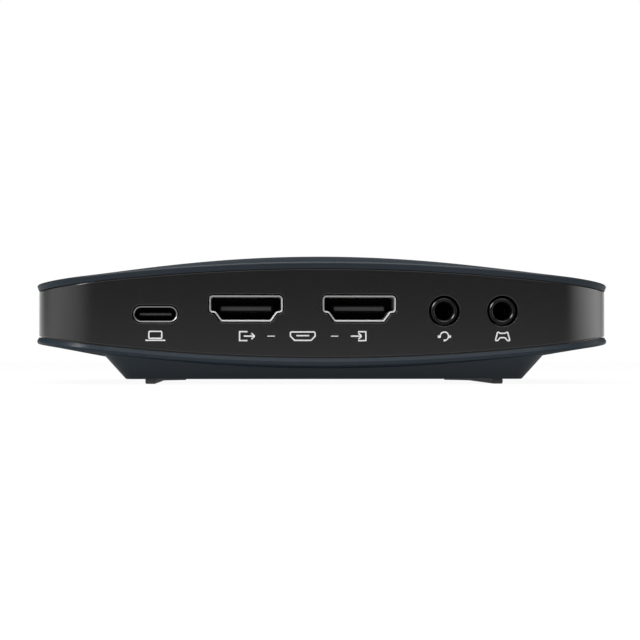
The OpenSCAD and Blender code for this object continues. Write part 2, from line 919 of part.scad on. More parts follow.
module status_emitters() {
    y = board_front - led_edge - led_d;
    color("ivory")
        for (side = [-1, 1])
            block(led_w, led_d, led_h, side * led_pitch / 2, y, board_top);
}

// Clear bar through the band's front, with a flange against the band's inner face
module light_window() {
    w = light_w - 2 * light_gap;
    h = light_h - 2 * light_gap;
    flange_y = -panel_in_y - light_flange_t;
    color("whitesmoke") {
        block(w, -panel_y - flange_y, h, 0, flange_y, light_z - h / 2);
        block(
            light_w + 2 * light_flange, light_flange_t, light_h + 2 * light_flange,
            0, flange_y, light_z - light_h / 2 - light_flange
        );
    }
}

top_cover();
port_band();
bottom_cover();
foot_left();
foot_right();
case_screws();
main_board();
data_shell();
data_tongue();
data_contact_strips();
video_out_shell();
video_out_tongue();
video_out_contact_strips();
video_in_shell();
video_in_tongue();
video_in_contact_strips();
headset_jack();
headset_tip_spring();
headset_ring_spring();
headset_sleeve_spring();
controller_jack();
controller_tip_spring();
controller_ring_spring();
controller_sleeve_spring();
video_processor();
thermal_pad();
heat_sink();
memory_chips();
video_receiver_chip();
video_driver_chip();
data_bridge_chip();
audio_chip();
flash_chip();
clock_crystal();
power_coils();
capacitor_cans();
small_capacitors();
status_emitters();
light_window();
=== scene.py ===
"""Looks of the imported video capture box, built round its CAD frame.

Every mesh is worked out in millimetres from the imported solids' sizes and written in metres.
"""

import json
import logging
import math
from dataclasses import dataclass, field, replace
from enum import Enum
from typing import Callable, Sequence

import bmesh
import bpy
import numpy as np
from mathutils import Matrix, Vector
from mathutils.geometry import delaunay_2d_cdt


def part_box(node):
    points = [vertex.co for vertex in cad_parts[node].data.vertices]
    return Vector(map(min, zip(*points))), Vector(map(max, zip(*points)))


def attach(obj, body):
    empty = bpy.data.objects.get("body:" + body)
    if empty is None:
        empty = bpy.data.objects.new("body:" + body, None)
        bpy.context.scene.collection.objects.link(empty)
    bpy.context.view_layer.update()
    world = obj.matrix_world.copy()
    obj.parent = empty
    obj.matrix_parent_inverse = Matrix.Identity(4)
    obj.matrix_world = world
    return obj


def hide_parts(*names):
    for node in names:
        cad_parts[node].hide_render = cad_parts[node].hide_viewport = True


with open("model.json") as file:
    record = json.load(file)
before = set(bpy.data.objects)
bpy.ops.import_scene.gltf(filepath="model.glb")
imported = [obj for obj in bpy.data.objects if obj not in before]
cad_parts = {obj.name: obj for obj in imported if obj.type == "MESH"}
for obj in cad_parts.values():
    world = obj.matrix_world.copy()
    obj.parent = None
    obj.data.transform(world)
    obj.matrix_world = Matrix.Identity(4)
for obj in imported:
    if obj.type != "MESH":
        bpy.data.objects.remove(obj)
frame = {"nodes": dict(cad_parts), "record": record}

LOG = logging.getLogger("scene")
MM = 0.001
WELD = 4e-7
SHARP = 32.0
ALL_TRIANGLES = 0
CASE = "case"
WHITE = (1.0, 1.0, 1.0, 1.0)
Array = np.ndarray
Pair = tuple[float, float]
Triple = tuple[float, float, float]
Profile = Callable[[float], Array]
Stroke = tuple[Array, bool, float]
Mesh = bpy.types.Mesh
Piece = bpy.types.Object
Tree = bpy.types.NodeTree
Node = bpy.types.Node
Wire = bpy.types.NodeSocket
Value = Wire | float | Sequence[float]


class Cap(Enum):
    """How a tube of rings ends."""

    OPEN = "open"
    POLE = "pole"
    FACE = "face"


class Level(Enum):
    """Surfaces of the body that heights are measured from."""

    DOME = "dome"
    HIGH_SEAM = "high seam"
    LOW_SEAM = "low seam"
    UNDERSIDE = "underside"


class Pattern(Enum):
    """Kinds of surface detail: a texture node, one of its inputs with its value, and the output in use."""

    GRAIN = ("TexNoise", "Detail", 4.0, "Fac")
    CELLS = ("TexVoronoi", "Randomness", 1.0, "Distance")
    TRACES = ("TexBrick", "Mortar Size", 0.06, "Fac")


def span(node: str) -> tuple[Array, Array]:
    """Lowest and highest corner of a CAD node in millimetres."""
    low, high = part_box(node)
    return np.array(low) / MM, np.array(high) / MM


def on_plane(flat: Array, y: float) -> Array:
    """Points of a drawing in X and Z, placed on a plane of constant Y."""
    return np.stack([flat[..., 0], np.full(flat.shape[:-1], y), flat[..., 1]], -1)


def at_height(flat: Array, z: Array | float) -> Array:
    """Points of a plan in X and Y, placed at their heights."""
    return np.concatenate([flat, np.broadcast_to(z, flat.shape[:-1])[..., None]], -1)


def turned(angle: Array) -> Array:
    """Unit vectors at angles: their cosines and sines."""
    return np.stack([np.cos(angle), np.sin(angle)], -1)


def circle(radius: float, steps: int, centre: Sequence[float]) -> Array:
    """Closed circle of points: centre plus radius times the cosine and sine of equal turns."""
    return np.asarray(centre) + radius * turned(np.linspace(0, 2 * np.pi, steps, endpoint=False))


def rounded_polygon(corners: Array, radii: Array | float, steps: int) -> Array:
    """Closed outline whose corners are arcs.

    An arc starts radius times the tangent of half the corner's turn before its corner, and its points
    turn by equal angles about a centre that lies one radius to the inner side of the incoming edge.

    Args:
        corners: Corners in order, one row each.
        radii: Radius at each corner, or one for all.
        steps: Segments in each arc.

    Returns:
        Points of the outline, one row each.
    """
    radii = np.broadcast_to(radii, len(corners))
    coming = corners - np.roll(corners, 1, 0)
    coming = coming / np.linalg.norm(coming, axis=1, keepdims=True)
    going = np.roll(coming, -1, 0)
    cross = coming[:, 0] * going[:, 1] - coming[:, 1] * going[:, 0]
    turn = np.arctan2(cross, (coming * going).sum(1))
    start = corners - coming * (radii * np.tan(np.abs(turn) / 2))[:, None]
    inner = np.sign(turn)[:, None] * np.stack([-coming[:, 1], coming[:, 0]], 1)
    centre = start + inner * radii[:, None]
    first = np.arctan2(-inner[:, 1], -inner[:, 0])
    angle = first[:, None] + turn[:, None] * np.linspace(0, 1, steps + 1)
    return (centre[:, None, :] + turned(angle) * radii[:, None, None]).reshape(-1, 2)


def rounded_box(width: float, height: float, radius: float, steps: int) -> Array:
    """Closed rectangle about the origin with four round corners."""
    corners = np.array([[-1, 1], [-1, -1], [1, -1], [1, 1]]) * [width / 2, height / 2]
    return rounded_polygon(corners, radius, steps)


def grid_faces(rows: int, cols: int, loop_rows: bool, loop_cols: bool) -> Array:
    """Quads of a grid of points.

    Args:
        rows: Rows of points.
        cols: Points in each row.
        loop_rows: Whether the last row joins the first.
        loop_cols: Whether each row closes on itself.

    Returns:
        Four point numbers for each quad, as rows by columns by four.
    """
    row = np.arange(rows if loop_rows else rows - 1)[:, None]
    col = np.arange(cols if loop_cols else cols - 1)[None, :]
    here = row * cols
    below = (row + 1) % rows * cols
    after = (col + 1) % cols
    return np.stack(np.broadcast_arrays(here + col, here + after, below + after, below + col), -1)


@dataclass(frozen=True)
class Edge:
    """Rounded edge between two surfaces, from an inset on the first to a drop on the second."""

    inset: float
    drop: float
    power: float = 1.0
    steps: int = 8

    def rows(self) -> Array:
        """Insets and drops along the edge.

        They are the edge's sizes times one less the sine, and one less the cosine, of a quarter turn, each
        to the same power: 1 gives an elliptic round, and 2 a straight chamfer.

        Returns:
            An inset and a drop for each step.
        """
        angle = np.linspace(0, np.pi / 2, self.steps + 1)
        return (1 - turned(angle)[:, ::-1] ** self.power) * [self.inset, self.drop]


@dataclass
class Surface:
    """Points in millimetres and faces, gathered from patches that weld where they meet."""

    points: list[Array] = field(default_factory=list)
    faces: list[list[int]] = field(default_factory=list)
    count: int = 0

    def add(self, points: Array, faces: Array) -> None:
        """Take over a patch.

        Args:
            points: Points in space, in an array of any shape.
            faces: Point numbers of each face, counted from the patch's own first point.
        """
        flat = points.reshape(-1, 3)
        self.faces += (np.asarray(faces) + self.count).tolist()
        self.points.append(flat)
        self.count += len(flat)

    def rings(self, rows: Array, start: Cap = Cap.OPEN, end: Cap = Cap.OPEN, loop: bool = False) -> None:
        """Join closed rings of points into a tube.

        Args:
            rows: Rings by points by three.
            start: How the first ring is closed.
            end: How the last ring is closed.
            loop: Whether the last ring joins the first.
        """
        count, cols = rows.shape[:2]
        first = self.count
        self.add(rows, grid_faces(count, cols, loop, True).reshape(-1, 4))
        for cap, row in ((start, 0), (end, count - 1)):
            ring = first + row * cols + np.arange(cols)
            if cap is Cap.FACE:
                self.faces.append(ring.tolist())
            elif cap is Cap.POLE:
                pole = np.full(cols, self.count)
                self.points.append(rows[row].mean(0)[None])
                self.count += 1
                self.faces += np.stack([ring, np.roll(ring, -1), pole], 1).tolist()

    def fill(self, loops: Sequence[Array], place: Callable[[Array], Array]) -> None:
        """Fill a flat region with triangles.

        A triangle is kept if a line from its middle crosses the loops an odd number of times.

        Args:
            loops: Drawings of the region's edge and of its holes.
            place: Turns drawn points into points in space.
        """
        flat = np.concatenate(loops)
        starts = np.cumsum([0] + [len(loop) for loop in loops])[:-1]
        rounds = [np.arange(len(loop)) for loop in loops]
        links = [np.stack([turn, np.roll(turn, -1)], 1) for turn in rounds]
        edges = np.concatenate([link + start for link, start in zip(links, starts)])
        filled = delaunay_2d_cdt([Vector(p) for p in flat], edges.tolist(), [], ALL_TRIANGLES, WELD / MM)
        spots, faces = np.array([tuple(p) for p in filled[0]]), np.array(filled[2])
        x, y = np.moveaxis(spots[faces].mean(1), 1, 0)[..., None]
        (x0, y0), (x1, y1) = flat[edges[:, 0]].T, flat[edges[:, 1]].T
        rise = np.where(y1 == y0, 1.0, y1 - y0)
        crosses = ((y0 > y) != (y1 > y)) & (x < x0 + (y - y0) * (x1 - x0) / rise)
        self.add(place(spots), faces[crosses.sum(1) % 2 == 1])

    def revolve(self, profile: Sequence[Pair], centre: Array, steps: int, loop: bool = False) -> None:
        """Turn a profile of radius and height about an upright axis: each row is one circle.

        Args:
            profile: Radius and height of each corner, in order.
            centre: Place of the axis in plan.
            steps: Points in each circle.
            loop: Whether the last corner joins the first.
        """
        rows = [at_height(circle(radius, steps, centre), z) for radius, z in profile]
        self.rings(np.stack(rows), loop=loop)

    def build(self, name: str, sharp: float = SHARP) -> Piece:
        """Weld the patches into one mesh object with outward normals.

        Args:
            name: Name of the object and its mesh.
            sharp: Angle between faces, in degrees, above which an edge stays sharp.

        Returns:
            The new object, in the scene.
        """
        mesh = bpy.data.meshes.new(name)
        mesh.from_pydata((np.concatenate(self.points) * MM).tolist(), [], self.faces)
        return finish_mesh(name, mesh, sharp)


def finish_mesh(name: str, mesh: Mesh, sharp: float) -> Piece:
    """Weld a mesh, turn its normals outwards, smooth it up to an angle and put it in the scene.

    Args:
        name: Name of the object.
        mesh: Mesh to finish.
        sharp: Angle between faces, in degrees, above which an edge stays sharp.

    Returns:
        The new object.
    """
    work = bmesh.new()
    work.from_mesh(mesh)
    bmesh.ops.remove_doubles(work, verts=work.verts, dist=WELD)
    bmesh.ops.recalc_face_normals(work, faces=work.faces)
    open_edges = sum(not edge.is_manifold for edge in work.edges)
    work.to_mesh(mesh)
    work.free()
    mesh.polygons.foreach_set("use_smooth", np.ones(len(mesh.polygons), bool))
    mesh.set_sharp_from_angle(angle=math.radians(sharp))
    piece = bpy.data.objects.new(name, mesh)
    bpy.context.scene.collection.objects.link(piece)
    weigh = piece.modifiers.new("weighted normals", "WEIGHTED_NORMAL")
    weigh.keep_sharp = True
    LOG.info("%s: %d faces, %d open edges", name, len(mesh.polygons), open_edges)
    return piece


def cad_copy(node: str, sharp: float = SHARP) -> Piece:
    """Welded, smooth copy of a CAD node's own mesh, to stand for that node."""
    return finish_mesh(f"{node}_smooth", frame["nodes"][node].data.copy(), sharp)


def feed(tree: Tree, node: Node, inputs: dict[str | int, Value]) -> None:
    """Link outputs to a node's inputs, and set plain values on them.

    Args:
        tree: Node tree that holds the node.
        node: Node to feed.
        inputs: Output or value for each input.
    """
    for key, value in inputs.items():
        if isinstance(value, Wire):
            tree.links.new(value, node.inputs[key])
        else:
            node.inputs[key].default_value = value


def add_node(tree: Tree, kind: str, inputs: dict[str | int, Value] | None = None, **settings: str) -> Node:
    """Add a shader node.

    Args:
        tree: Node tree that takes the node.
        kind: Its type, without the prefix that all shader nodes share.
        inputs: Output or value for each input that isn't left as it is.
        settings: Attributes of the node, such as its operation.

    Returns:
        The new node.
    """
    node = tree.nodes.new(f"ShaderNode{kind}")
    for name, value in settings.items():
        setattr(node, name, value)
    feed(tree, node, inputs or {})
    return node


def calc(tree: Tree, operation: str, *values: Value) -> Wire:
    """Output of a node that works out one operation on some values."""
    return add_node(tree, "Math", dict(enumerate(values)), operation=operation).outputs["Value"]


def blend(tree: Tree, share: Wire, first: Wire, second: Wire) -> Wire:
    """Output of a node that mixes a share of a second shader into a first one."""
    return add_node(tree, "MixShader", {"Fac": share, 1: first, 2: second}).outputs["Shader"]


def remap(tree: Tree, value: Wire, source: Pair, target: Pair) -> Wire:
    """Output of a node that maps one range of values onto another."""
    limits = dict(zip(("From Min", "From Max", "To Min", "To Max"), (*source, *target)))
    return add_node(tree, "MapRange", {"Value": value, **limits}).outputs["Result"]


@dataclass(frozen=True)
class Finish:
    """Surface with a faint colour mottle, and a fine pattern in its roughness and relief.

    Sizes are in millimetres. The roughness varies by the spread, and the coat is half as rough as the
    surface.
    """

    name: str
    slot: str
    colour: Triple
    roughness: float
    metallic: float = 0.0
    specular: float = 0.5
    pattern: Pattern = Pattern.GRAIN
    mottle: float = 0.1
    mottle_size: float = 9.0
    size: float = 0.3
    stretch: Triple = (1.0, 1.0, 1.0)
    relief: float = 0.01
    bump: float = 0.5
    spread: float = 0.06
    smoothest: float = 0.02
    coat: float = 0.0
    line: Triple | None = None

    def material(self) -> bpy.types.Material:
        """Material of this finish, made once."""
        return bpy.data.materials.get(self.name) or self.paint()

    def paint(self) -> bpy.types.Material:
        """Build the shader nodes.

        Returns:
            A new material.
        """
        material = bpy.data.materials.new(self.name)
        material.use_nodes = True
        tree = material.node_tree
        shader = tree.nodes["Principled BSDF"]
        shader.inputs["Metallic"].default_value = self.metallic
        shader.inputs["Specular IOR Level"].default_value = self.specular
        shader.inputs["Coat Weight"].default_value = self.coat
        shader.inputs["Coat Roughness"].default_value = self.roughness / 2
        place = add_node(tree, "TexCoord").outputs["Object"]
        fine = self.detail(tree, place)
        rough = max(self.roughness - self.spread, self.smoothest), min(self.roughness + self.spread, 1.0)
        raised = {"Strength": self.bump, "Distance": self.relief * MM, "Height": fine}
        feed(tree, shader, {
            "Base Color": self.tint(tree, place, fine),
            "Roughness": remap(tree, fine, (0.0, 1.0), rough),
            "Normal": add_node(tree, "Bump", raised).outputs["Normal"],
        })
        return material

    def detail(self, tree: Tree, place: Wire) -> Wire:
        """Fine pattern, from 0 to 1.

        Args:
            tree: Node tree of the material.
            place: Coordinates that the pattern is laid on.

        Returns:
            Output that carries the pattern.
        """
        kind, knob, amount, out = self.pattern.value
        laid = add_node(tree, "Mapping", {"Vector": place, "Scale": self.stretch}).outputs["Vector"]
        inputs = {"Vector": laid, "Scale": 1 / (self.size * MM), knob: amount}
        return add_node(tree, kind, inputs).outputs[out]

    def tint(self, tree: Tree, place: Wire, fine: Wire) -> Wire:
        """Mottled colour, with the pattern's lines where the finish has any.

        Args:
            tree: Node tree of the material.
            place: Coordinates that the mottle is laid on.
            fine: Output that carries the fine pattern.

        Returns:
            Output that carries the colour.
        """
        cloud = add_node(tree, "TexNoise", {"Vector": place, "Scale": 1 / (self.mottle_size * MM)})
        ramp = add_node(tree, "ValToRGB", {"Fac": cloud.outputs["Fac"]})
        for stop, share in zip(ramp.color_ramp.elements, (1 - self.mottle, 1 + self.mottle)):
            stop.color = (*(min(c * share, 1.0) for c in self.colour), 1.0)
        colour = ramp.outputs["Color"]
        if self.line is None:
            return colour
        lines = {"Factor": fine, "A": colour, "B": (*self.line, 1.0)}
        return add_node(tree, "Mix", lines, data_type="RGBA").outputs["Result"]

    def cover(self, mesh: Mesh) -> None:
        """Make this finish the only one of a mesh."""
        mesh.materials.clear()
        mesh.materials.append(self.material())

    def dress(self, piece: Piece, body: str = CASE, node: str | None = None) -> None:
        """Give a piece this finish, and its place on a body.

        Args:
            piece: Piece to dress.
            body: CAD body that it rides on.
            node: CAD node that it stands for, if any.
        """
        self.cover(piece.data)
        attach(piece, body)
        if node is not None:
            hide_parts(node)
        LOG.info("%s wears %s on body %s", piece.name, self.name, body)


def metal(name: str, slot: str, colour: Triple, roughness: float, along: float, **more: float) -> Finish:
    """Finish of a metal whose grain is drawn out along Y, more so for a smaller scale along it."""
    return Finish(name, slot, colour, roughness, metallic=1.0, stretch=(1.0, along, 1.0), **more)


COVER = Finish(
    "navy_satin", "cover", (0.0107, 0.0163, 0.0223), 0.6, specular=0.0, coat=0.32, size=0.25, relief=0.004
)
# Painted shade: the cover's finish with less coat, laid on faces that look down so they mirror less of the
# white floor.
UNDERSIDE = replace(COVER, name="navy_underside_painted_shade", coat=0.08)
BAND = Finish("grey_gloss", "band", (0.0045, 0.0045, 0.0047), 0.17, size=0.4, relief=0.001, spread=0.02)
INK = Finish("legend_ink", "band", (0.5, 0.5, 0.5), 0.6, size=0.12, relief=0.004, mottle=0.06)
FOOT = Finish("foot_rubber", "foot", (0.12, 0.125, 0.122), 0.8, specular=0.3, size=0.2, relief=0.02)
SHELL = metal(
    "nickel_sheet", "shell", (0.36, 0.36, 0.354), 0.6, 0.08,
    size=0.2, relief=0.004, mottle=0.06, mottle_size=2.0,
)
DRAWN = replace(SHELL, name="drawn_sheet", colour=(0.18, 0.18, 0.177), roughness=0.3)
TONGUE = Finish(
    "tongue_moulding", "insulator", (0.006, 0.006, 0.0062), 0.7, specular=0.05, size=0.15, relief=0.006
)
# Painted light: a paler copy of the tongue's black moulding, for the lit front face of its nose.
LIT_TIP = replace(TONGUE, name="tongue_tip_painted_light", colour=(0.036, 0.036, 0.0365), specular=0.1)
NOSE = Finish("jack_moulding", "insulator", (0.004, 0.004, 0.004), 0.8, specular=0.06, relief=0.006)
NOSE_EDGE = Finish("jack_edge", "insulator", (0.003, 0.003, 0.003), 0.14, specular=0.18, relief=0.0005)
CONTACT = metal("gold_strip", "contact", (0.83, 0.6, 0.24), 0.25, 0.1, size=0.1, relief=0.002)
# Dark bronze, darkened below its own tone: painted shade that keeps the springs black inside the jacks'
# bores.
SHADED_SPRING = replace(CONTACT, name="spring_bronze_shaded", slot="spring", colour=(0.12, 0.1, 0.075), roughness=0.5)
SCREW = metal("zinc_screw", "screw", (0.3, 0.3, 0.31), 0.38, 1.0, size=0.15, relief=0.004)
SINK = metal("extruded_alloy", "sink", (0.7, 0.71, 0.72), 0.35, 0.05, relief=0.006)
CAN = metal("drawn_can", "can", (0.72, 0.72, 0.73), 0.28, 1.0, relief=0.003)
BOARD = Finish(
    "solder_mask", "board", (0.012, 0.013, 0.014), 0.35,
    pattern=Pattern.TRACES, size=2.5, line=(0.03, 0.032, 0.033), relief=0.02,
)
CHIP = Finish(
    "black_epoxy", "chip", (0.02, 0.021, 0.022), 0.55, pattern=Pattern.CELLS, size=0.15, relief=0.006
)
PAD = Finish("soft_pad", "pad", (0.4, 0.5, 0.6), 0.7, pattern=Pattern.CELLS)
COIL = Finish(
    "iron_powder", "coil", (0.09, 0.09, 0.095), 0.7, pattern=Pattern.CELLS, size=0.12, relief=0.015
)
CERAMIC = Finish("brown_ceramic", "ceramic", (0.36, 0.26, 0.17), 0.45, size=0.2, relief=0.004)
EMITTER = Finish("emitter_body", "emitter", (0.8, 0.79, 0.74), 0.3, relief=0.003, mottle=0.04)
WINDOW = Finish("milky_bar", "window", (0.68, 0.7, 0.72), 0.25, size=0.5, relief=0.003, mottle=0.04)


@dataclass(frozen=True)
class Body:
    """Driving sizes of the enclosure in millimetres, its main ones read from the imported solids."""

    width: float
    depth: float
    crest: float
    low_seam: float
    high_seam: float
    floor: float
    board_low: float
    board_top: float
    corner: float = 16.0
    sag: float = 4.4
    top_rim: float = 1.32
    low_rim: float = 1.35
    belly: float = 2.75
    step: float = 0.4
    wall: float = 2.0
    high_reveal: float = 0.1
    low_reveal: float = 0.2
    reveal_depth: float = 0.4
    skirt_gap: float = 0.1
    skirt: float = 1.0
    skirt_reach: float = 2.0
    top_edge: Edge = Edge(0.22, 0.27, 1.8)
    low_edge: Edge = Edge(0.3, 0.64)
    rim_lip: Edge = Edge(0.12, 0.12)
    rim_slant: float = 0.34
    side_steps: tuple[int, int] = (44, 19)
    corner_steps: int = 36

    @classmethod
    def from_frame(cls) -> "Body":
        """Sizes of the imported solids.

        Returns:
            The body.
        """
        low, high = span("top_cover")
        band_low, band_high = span("port_band")
        board_low, board_high = span("main_board")
        return cls(
            width=high[0] - low[0],
            depth=high[1] - low[1],
            crest=high[2],
            low_seam=band_low[2],
            high_seam=band_high[2],
            floor=span("bottom_cover")[0][2],
            board_low=board_low[2],
            board_top=board_high[2],
        )

    @property
    def inset(self) -> float:
        """Inset of the band's inner face."""
        return self.step + self.wall

    @property
    def skirt_out(self) -> float:
        """Inset of a skirt's outer face."""
        return self.inset + self.skirt_gap

    @property
    def skirt_in(self) -> float:
        """Inset of a skirt's inner face."""
        return self.skirt_out + self.skirt

    @property
    def panel(self) -> float:
        """Y of the band's rear face."""
        return self.step - self.depth / 2

    def plan(self, width: float, depth: float, radius: float) -> Array:
        """Rounded rectangle about the origin, always with the same count of points on each side and corner.

        Each side is a line of equal shares between the ends of its two corners' arcs, and each arc has
        equal turns about its corner's centre.

        Args:
            width: Size along X.
            depth: Size along Y.
            radius: Corner radius.

        Returns:
            Points in order from the rear side's left end, one row each.
        """
        x, y = width / 2 - radius, depth / 2 - radius
        centres = np.array([[x, -y], [x, y], [-x, y], [-x, -y]])
        outwards = radius * np.array([[0, -1], [1, 0], [0, 1], [-1, 0]])
        starts, ends = np.roll(centres, 1, 0) + outwards, centres + outwards
        parts = []
        for side, (start, end, centre) in enumerate(zip(starts, ends, centres)):
            share = np.linspace(0, 1, self.side_steps[side % 2], endpoint=False)[:, None]
            turn = (side - 1 + np.linspace(0, 1, self.corner_steps, endpoint=False)) * np.pi / 2
            parts += [start + share * (end - start), centre + radius * turned(turn)]
        return np.concatenate(parts)

    def ring(self, inset: float) -> Array:
        """Outline of the covers seen from above, moved inwards."""
        return self.plan(self.width - 2 * inset, self.depth - 2 * inset, self.corner - inset)

    def height(self, level: Level, flat: Array) -> Array:
        """Height of a level over points in plan.

        The seams are arcs of one radius across the width, the lower one upturned. The dome and the
        underside are the rims' arcs plus a crown: one less the square of the share of half the width, times
        the same for the depth.

        Args:
            level: Level to measure.
            flat: Points in plan.

        Returns:
            One height for each point.
        """
        half = self.width / 2
        arch = (half**2 + self.sag**2) / (2 * self.sag)
        drop = arch - np.sqrt(arch**2 - flat[..., 0] ** 2)
        share = (1 - (flat[..., 0] / half) ** 2) * (1 - (flat[..., 1] / (self.depth / 2)) ** 2)
        if level is Level.LOW_SEAM:
            return self.low_seam + drop
        if level is Level.UNDERSIDE:
            return self.low_seam - self.low_rim + drop - self.belly * share
        if level is Level.HIGH_SEAM:
            return self.high_seam - drop
        rim = self.high_seam + self.top_rim
        return rim - drop + (self.crest - rim) * share

    def row(self, inset: float, level: Level, rise: float = 0.0) -> Array:
        """Outline at an inset, at a height above a level."""
        flat = self.ring(inset)
        return at_height(flat, self.height(level, flat) + rise)

    def rim(self, outer: Level, seam: Level, edge: Edge, up: float) -> list[Array]:
        """Rows of a cover's rim, from its rounded outer edge over its slanted face to its skirt's foot.

        Args:
            outer: Level of the cover's outer surface.
            seam: Level of the seam.
            edge: Shape of the outer edge.
            up: 1 where the cover is above the seam, -1 where it is below.

        Returns:
            Rows of points in space.
        """
        rows = [self.row(inset, outer, -up * drop) for inset, drop in edge.rows()]
        lip = self.rim_lip.rows()
        rows += [self.row(self.rim_slant + inwards, seam, up * rise) for rise, inwards in lip]
        rows += [self.row(self.skirt_out, seam, rise) for rise in (0.0, -up * self.skirt_reach)]
        rows += [self.row(self.skirt_in, seam, rise) for rise in (-up * self.skirt_reach, 0.0)]
        return rows


@dataclass
class TopCover:
    """Crowned lid with a slanted rim, a locating skirt and four screw posts."""

    body: Body
    pocket: float = 9.0
    wall: float = 1.6
    post: float = 2.45
    bore: float = 1.35
    bore_top: float = 20.0
    axis: float = 0.01
    dome_rows: int = 30
    post_steps: int = 40

    def build(self, screws: Array) -> None:
        """Loft the lid from its crest over the rim to the hollow's ceiling, and dress it.

        The dome's rows are the rim's outline shrunk towards the middle by equal shares.

        Args:
            screws: Screw places in plan.
        """
        body = self.body
        share = np.linspace(0, 1, self.dome_rows + 1)[1:-1, None, None]
        outer = body.ring(body.top_edge.inset) * share
        inner = body.ring(self.pocket) * share[::-1]
        rows = list(at_height(outer, body.height(Level.DOME, outer)))
        rows += body.rim(Level.DOME, Level.HIGH_SEAM, body.top_edge, 1.0)
        rows += [body.row(self.pocket, Level.HIGH_SEAM), body.row(self.pocket, Level.DOME, -self.wall)]
        rows += list(at_height(inner, body.height(Level.DOME, inner) - self.wall))
        surface = Surface()
        surface.rings(np.stack(rows), Cap.POLE, Cap.POLE)
        for spot in screws:
            roof = float(body.height(Level.DOME, spot)) - self.wall / 2
            profile = [
                (self.bore, body.board_top), (self.post, body.board_top), (self.post, roof),
                (self.axis, roof), (self.axis, self.bore_top), (self.bore, self.bore_top),
            ]
            surface.revolve(profile, spot, self.post_steps, loop=True)
        COVER.dress(surface.build("top_cover_lid"), node="top_cover")


@dataclass
class BottomCover:
    """Tray with arched wings, a slanted base, a locating skirt and four screw pillars."""

    body: Body
    width: float = 82.0
    depth: float = 56.0
    corner: float = 1.5
    slant: float = 42.0
    wall: float = 1.8
    edge: float = 0.6
    head: float = 2.5
    bore: float = 1.35
    seat: float = 5.0
    pillar: float = 3.6
    chamfer: float = 0.15
    faces_down: float = 0.9
    wing_rows: int = 10
    edge_rows: int = 6
    round_steps: int = 48
    settle_rounds: int = 6

    def base(self, grow: Array | float) -> Array:
        """Outline of the base's underside, grown sideways.

        A point moves by its growth times the way that it goes when the outline grows by a millimetre.

        Args:
            grow: Growth in millimetres, one for each point or one for all.

        Returns:
            Points in plan.
        """
        still = self.body.plan(self.width, self.depth, self.corner)
        moved = self.body.plan(self.width + 2, self.depth + 2, self.corner + 1)
        return still + (moved - still) * np.reshape(grow, (-1, 1))

    def meet(self, level: Level, inset: float) -> Array:
        """Row where the base's slanted side, moved inwards, meets a level.

        The side moves out by the slant's tangent for each millimetre of height, so its growth is worked
        out again from the level's height over each point until it settles.

        Args:
            level: Level that the side runs up to.
            inset: Distance from the outer side, across it.

        Returns:
            Points in space.
        """
        lean = math.radians(self.slant)
        grow = np.zeros(len(self.base(0.0)))
        for _ in range(self.settle_rounds):
            rise = self.body.height(level, self.base(grow)) - self.body.floor
            grow = rise * math.tan(lean) - inset / math.cos(lean)
        flat = self.base(grow)
        return at_height(flat, self.body.height(level, flat))

    def rows(self) -> list[Array]:
        """Rows of the tray, from the edge of its underside over the wings and the rim to its floor.

        The base's lower edge is an arc that turns from the underside to the slanted side, and the wings'
        rows lie at equal shares between the base and the rim.

        Returns:
            Rows of points in space.
        """
        body = self.body
        lean = math.radians(self.slant)
        reach = self.edge * math.tan((math.pi / 2 - lean) / 2)
        turn = np.linspace(0, math.pi / 2 - lean, self.edge_rows)
        grow = self.edge * np.sin(turn) - reach
        lift = self.edge * (1 - np.cos(turn)) + body.floor
        rows = [at_height(self.base(g), z) for g, z in zip(grow, lift)]
        foot = self.meet(Level.UNDERSIDE, 0.0)[:, :2]
        tip = body.ring(body.low_edge.inset)
        for share in np.linspace(0, 1, self.wing_rows, endpoint=False):
            flat = foot + (tip - foot) * share
            rows.append(at_height(flat, body.height(Level.UNDERSIDE, flat)))
        rows += body.rim(Level.UNDERSIDE, Level.LOW_SEAM, body.low_edge, -1.0)
        shrink = self.wall * math.tan(lean) - self.wall / math.cos(lean)
        return rows + [
            self.meet(Level.LOW_SEAM, self.wall), at_height(self.base(shrink), body.floor + self.wall)
        ]

    def build(self, screws: Array, feet: Sequence["Foot"]) -> None:
        """Join the tray's rows, its underside and floor, its pillars and the feet's grooves, and dress it.

        Args:
            screws: Screw places in plan.
            feet: Feet whose grooves the underside has.
        """
        floor = self.body.floor
        inside = floor + self.wall
        mouth = self.head + self.chamfer
        rows = self.rows()
        surface = Surface()
        surface.rings(np.stack(rows))
        holes = [circle(mouth, self.round_steps, spot) for spot in screws]
        holes += [foot.loop(foot.gap) for foot in feet]
        surface.fill([rows[0][:, :2], *holes], lambda flat: at_height(flat, floor))
        pillars = [circle(self.pillar, self.round_steps, spot) for spot in screws]
        surface.fill([rows[-1][:, :2], *pillars], lambda flat: at_height(flat, inside))
        profile = [
            (mouth, floor), (self.head, floor + self.chamfer), (self.head, self.seat),
            (self.bore, self.seat), (self.bore, self.body.board_low),
            (self.pillar, self.body.board_low), (self.pillar, inside),
        ]
        for spot in screws:
            surface.revolve(profile, spot, self.round_steps)
        for foot in feet:
            foot.cut(surface, floor)
        tray = surface.build("bottom_cover_tray")
        COVER.dress(tray, node="bottom_cover")
        self.shade_undersides(tray.data)

    def shade_undersides(self, mesh: Mesh) -> None:
        """Give the undersides of the tray's wings, its faces that look down above the base, less gloss.

        That is painted shade: a copy of the cover's finish with a weaker coat dims what they mirror of the
        white floor.

        Args:
            mesh: Mesh of the tray.
        """
        mesh.materials.append(UNDERSIDE.material())
        normals, centres = np.empty((2, 3 * len(mesh.polygons)))
        mesh.polygons.foreach_get("normal", normals)
        mesh.polygons.foreach_get("center", centres)
        above = centres[2::3] > (self.body.floor + self.edge) * MM
        wings = above & (normals[2::3] < -self.faces_down)
        mesh.polygons.foreach_set("material_index", wings.astype(np.int32))


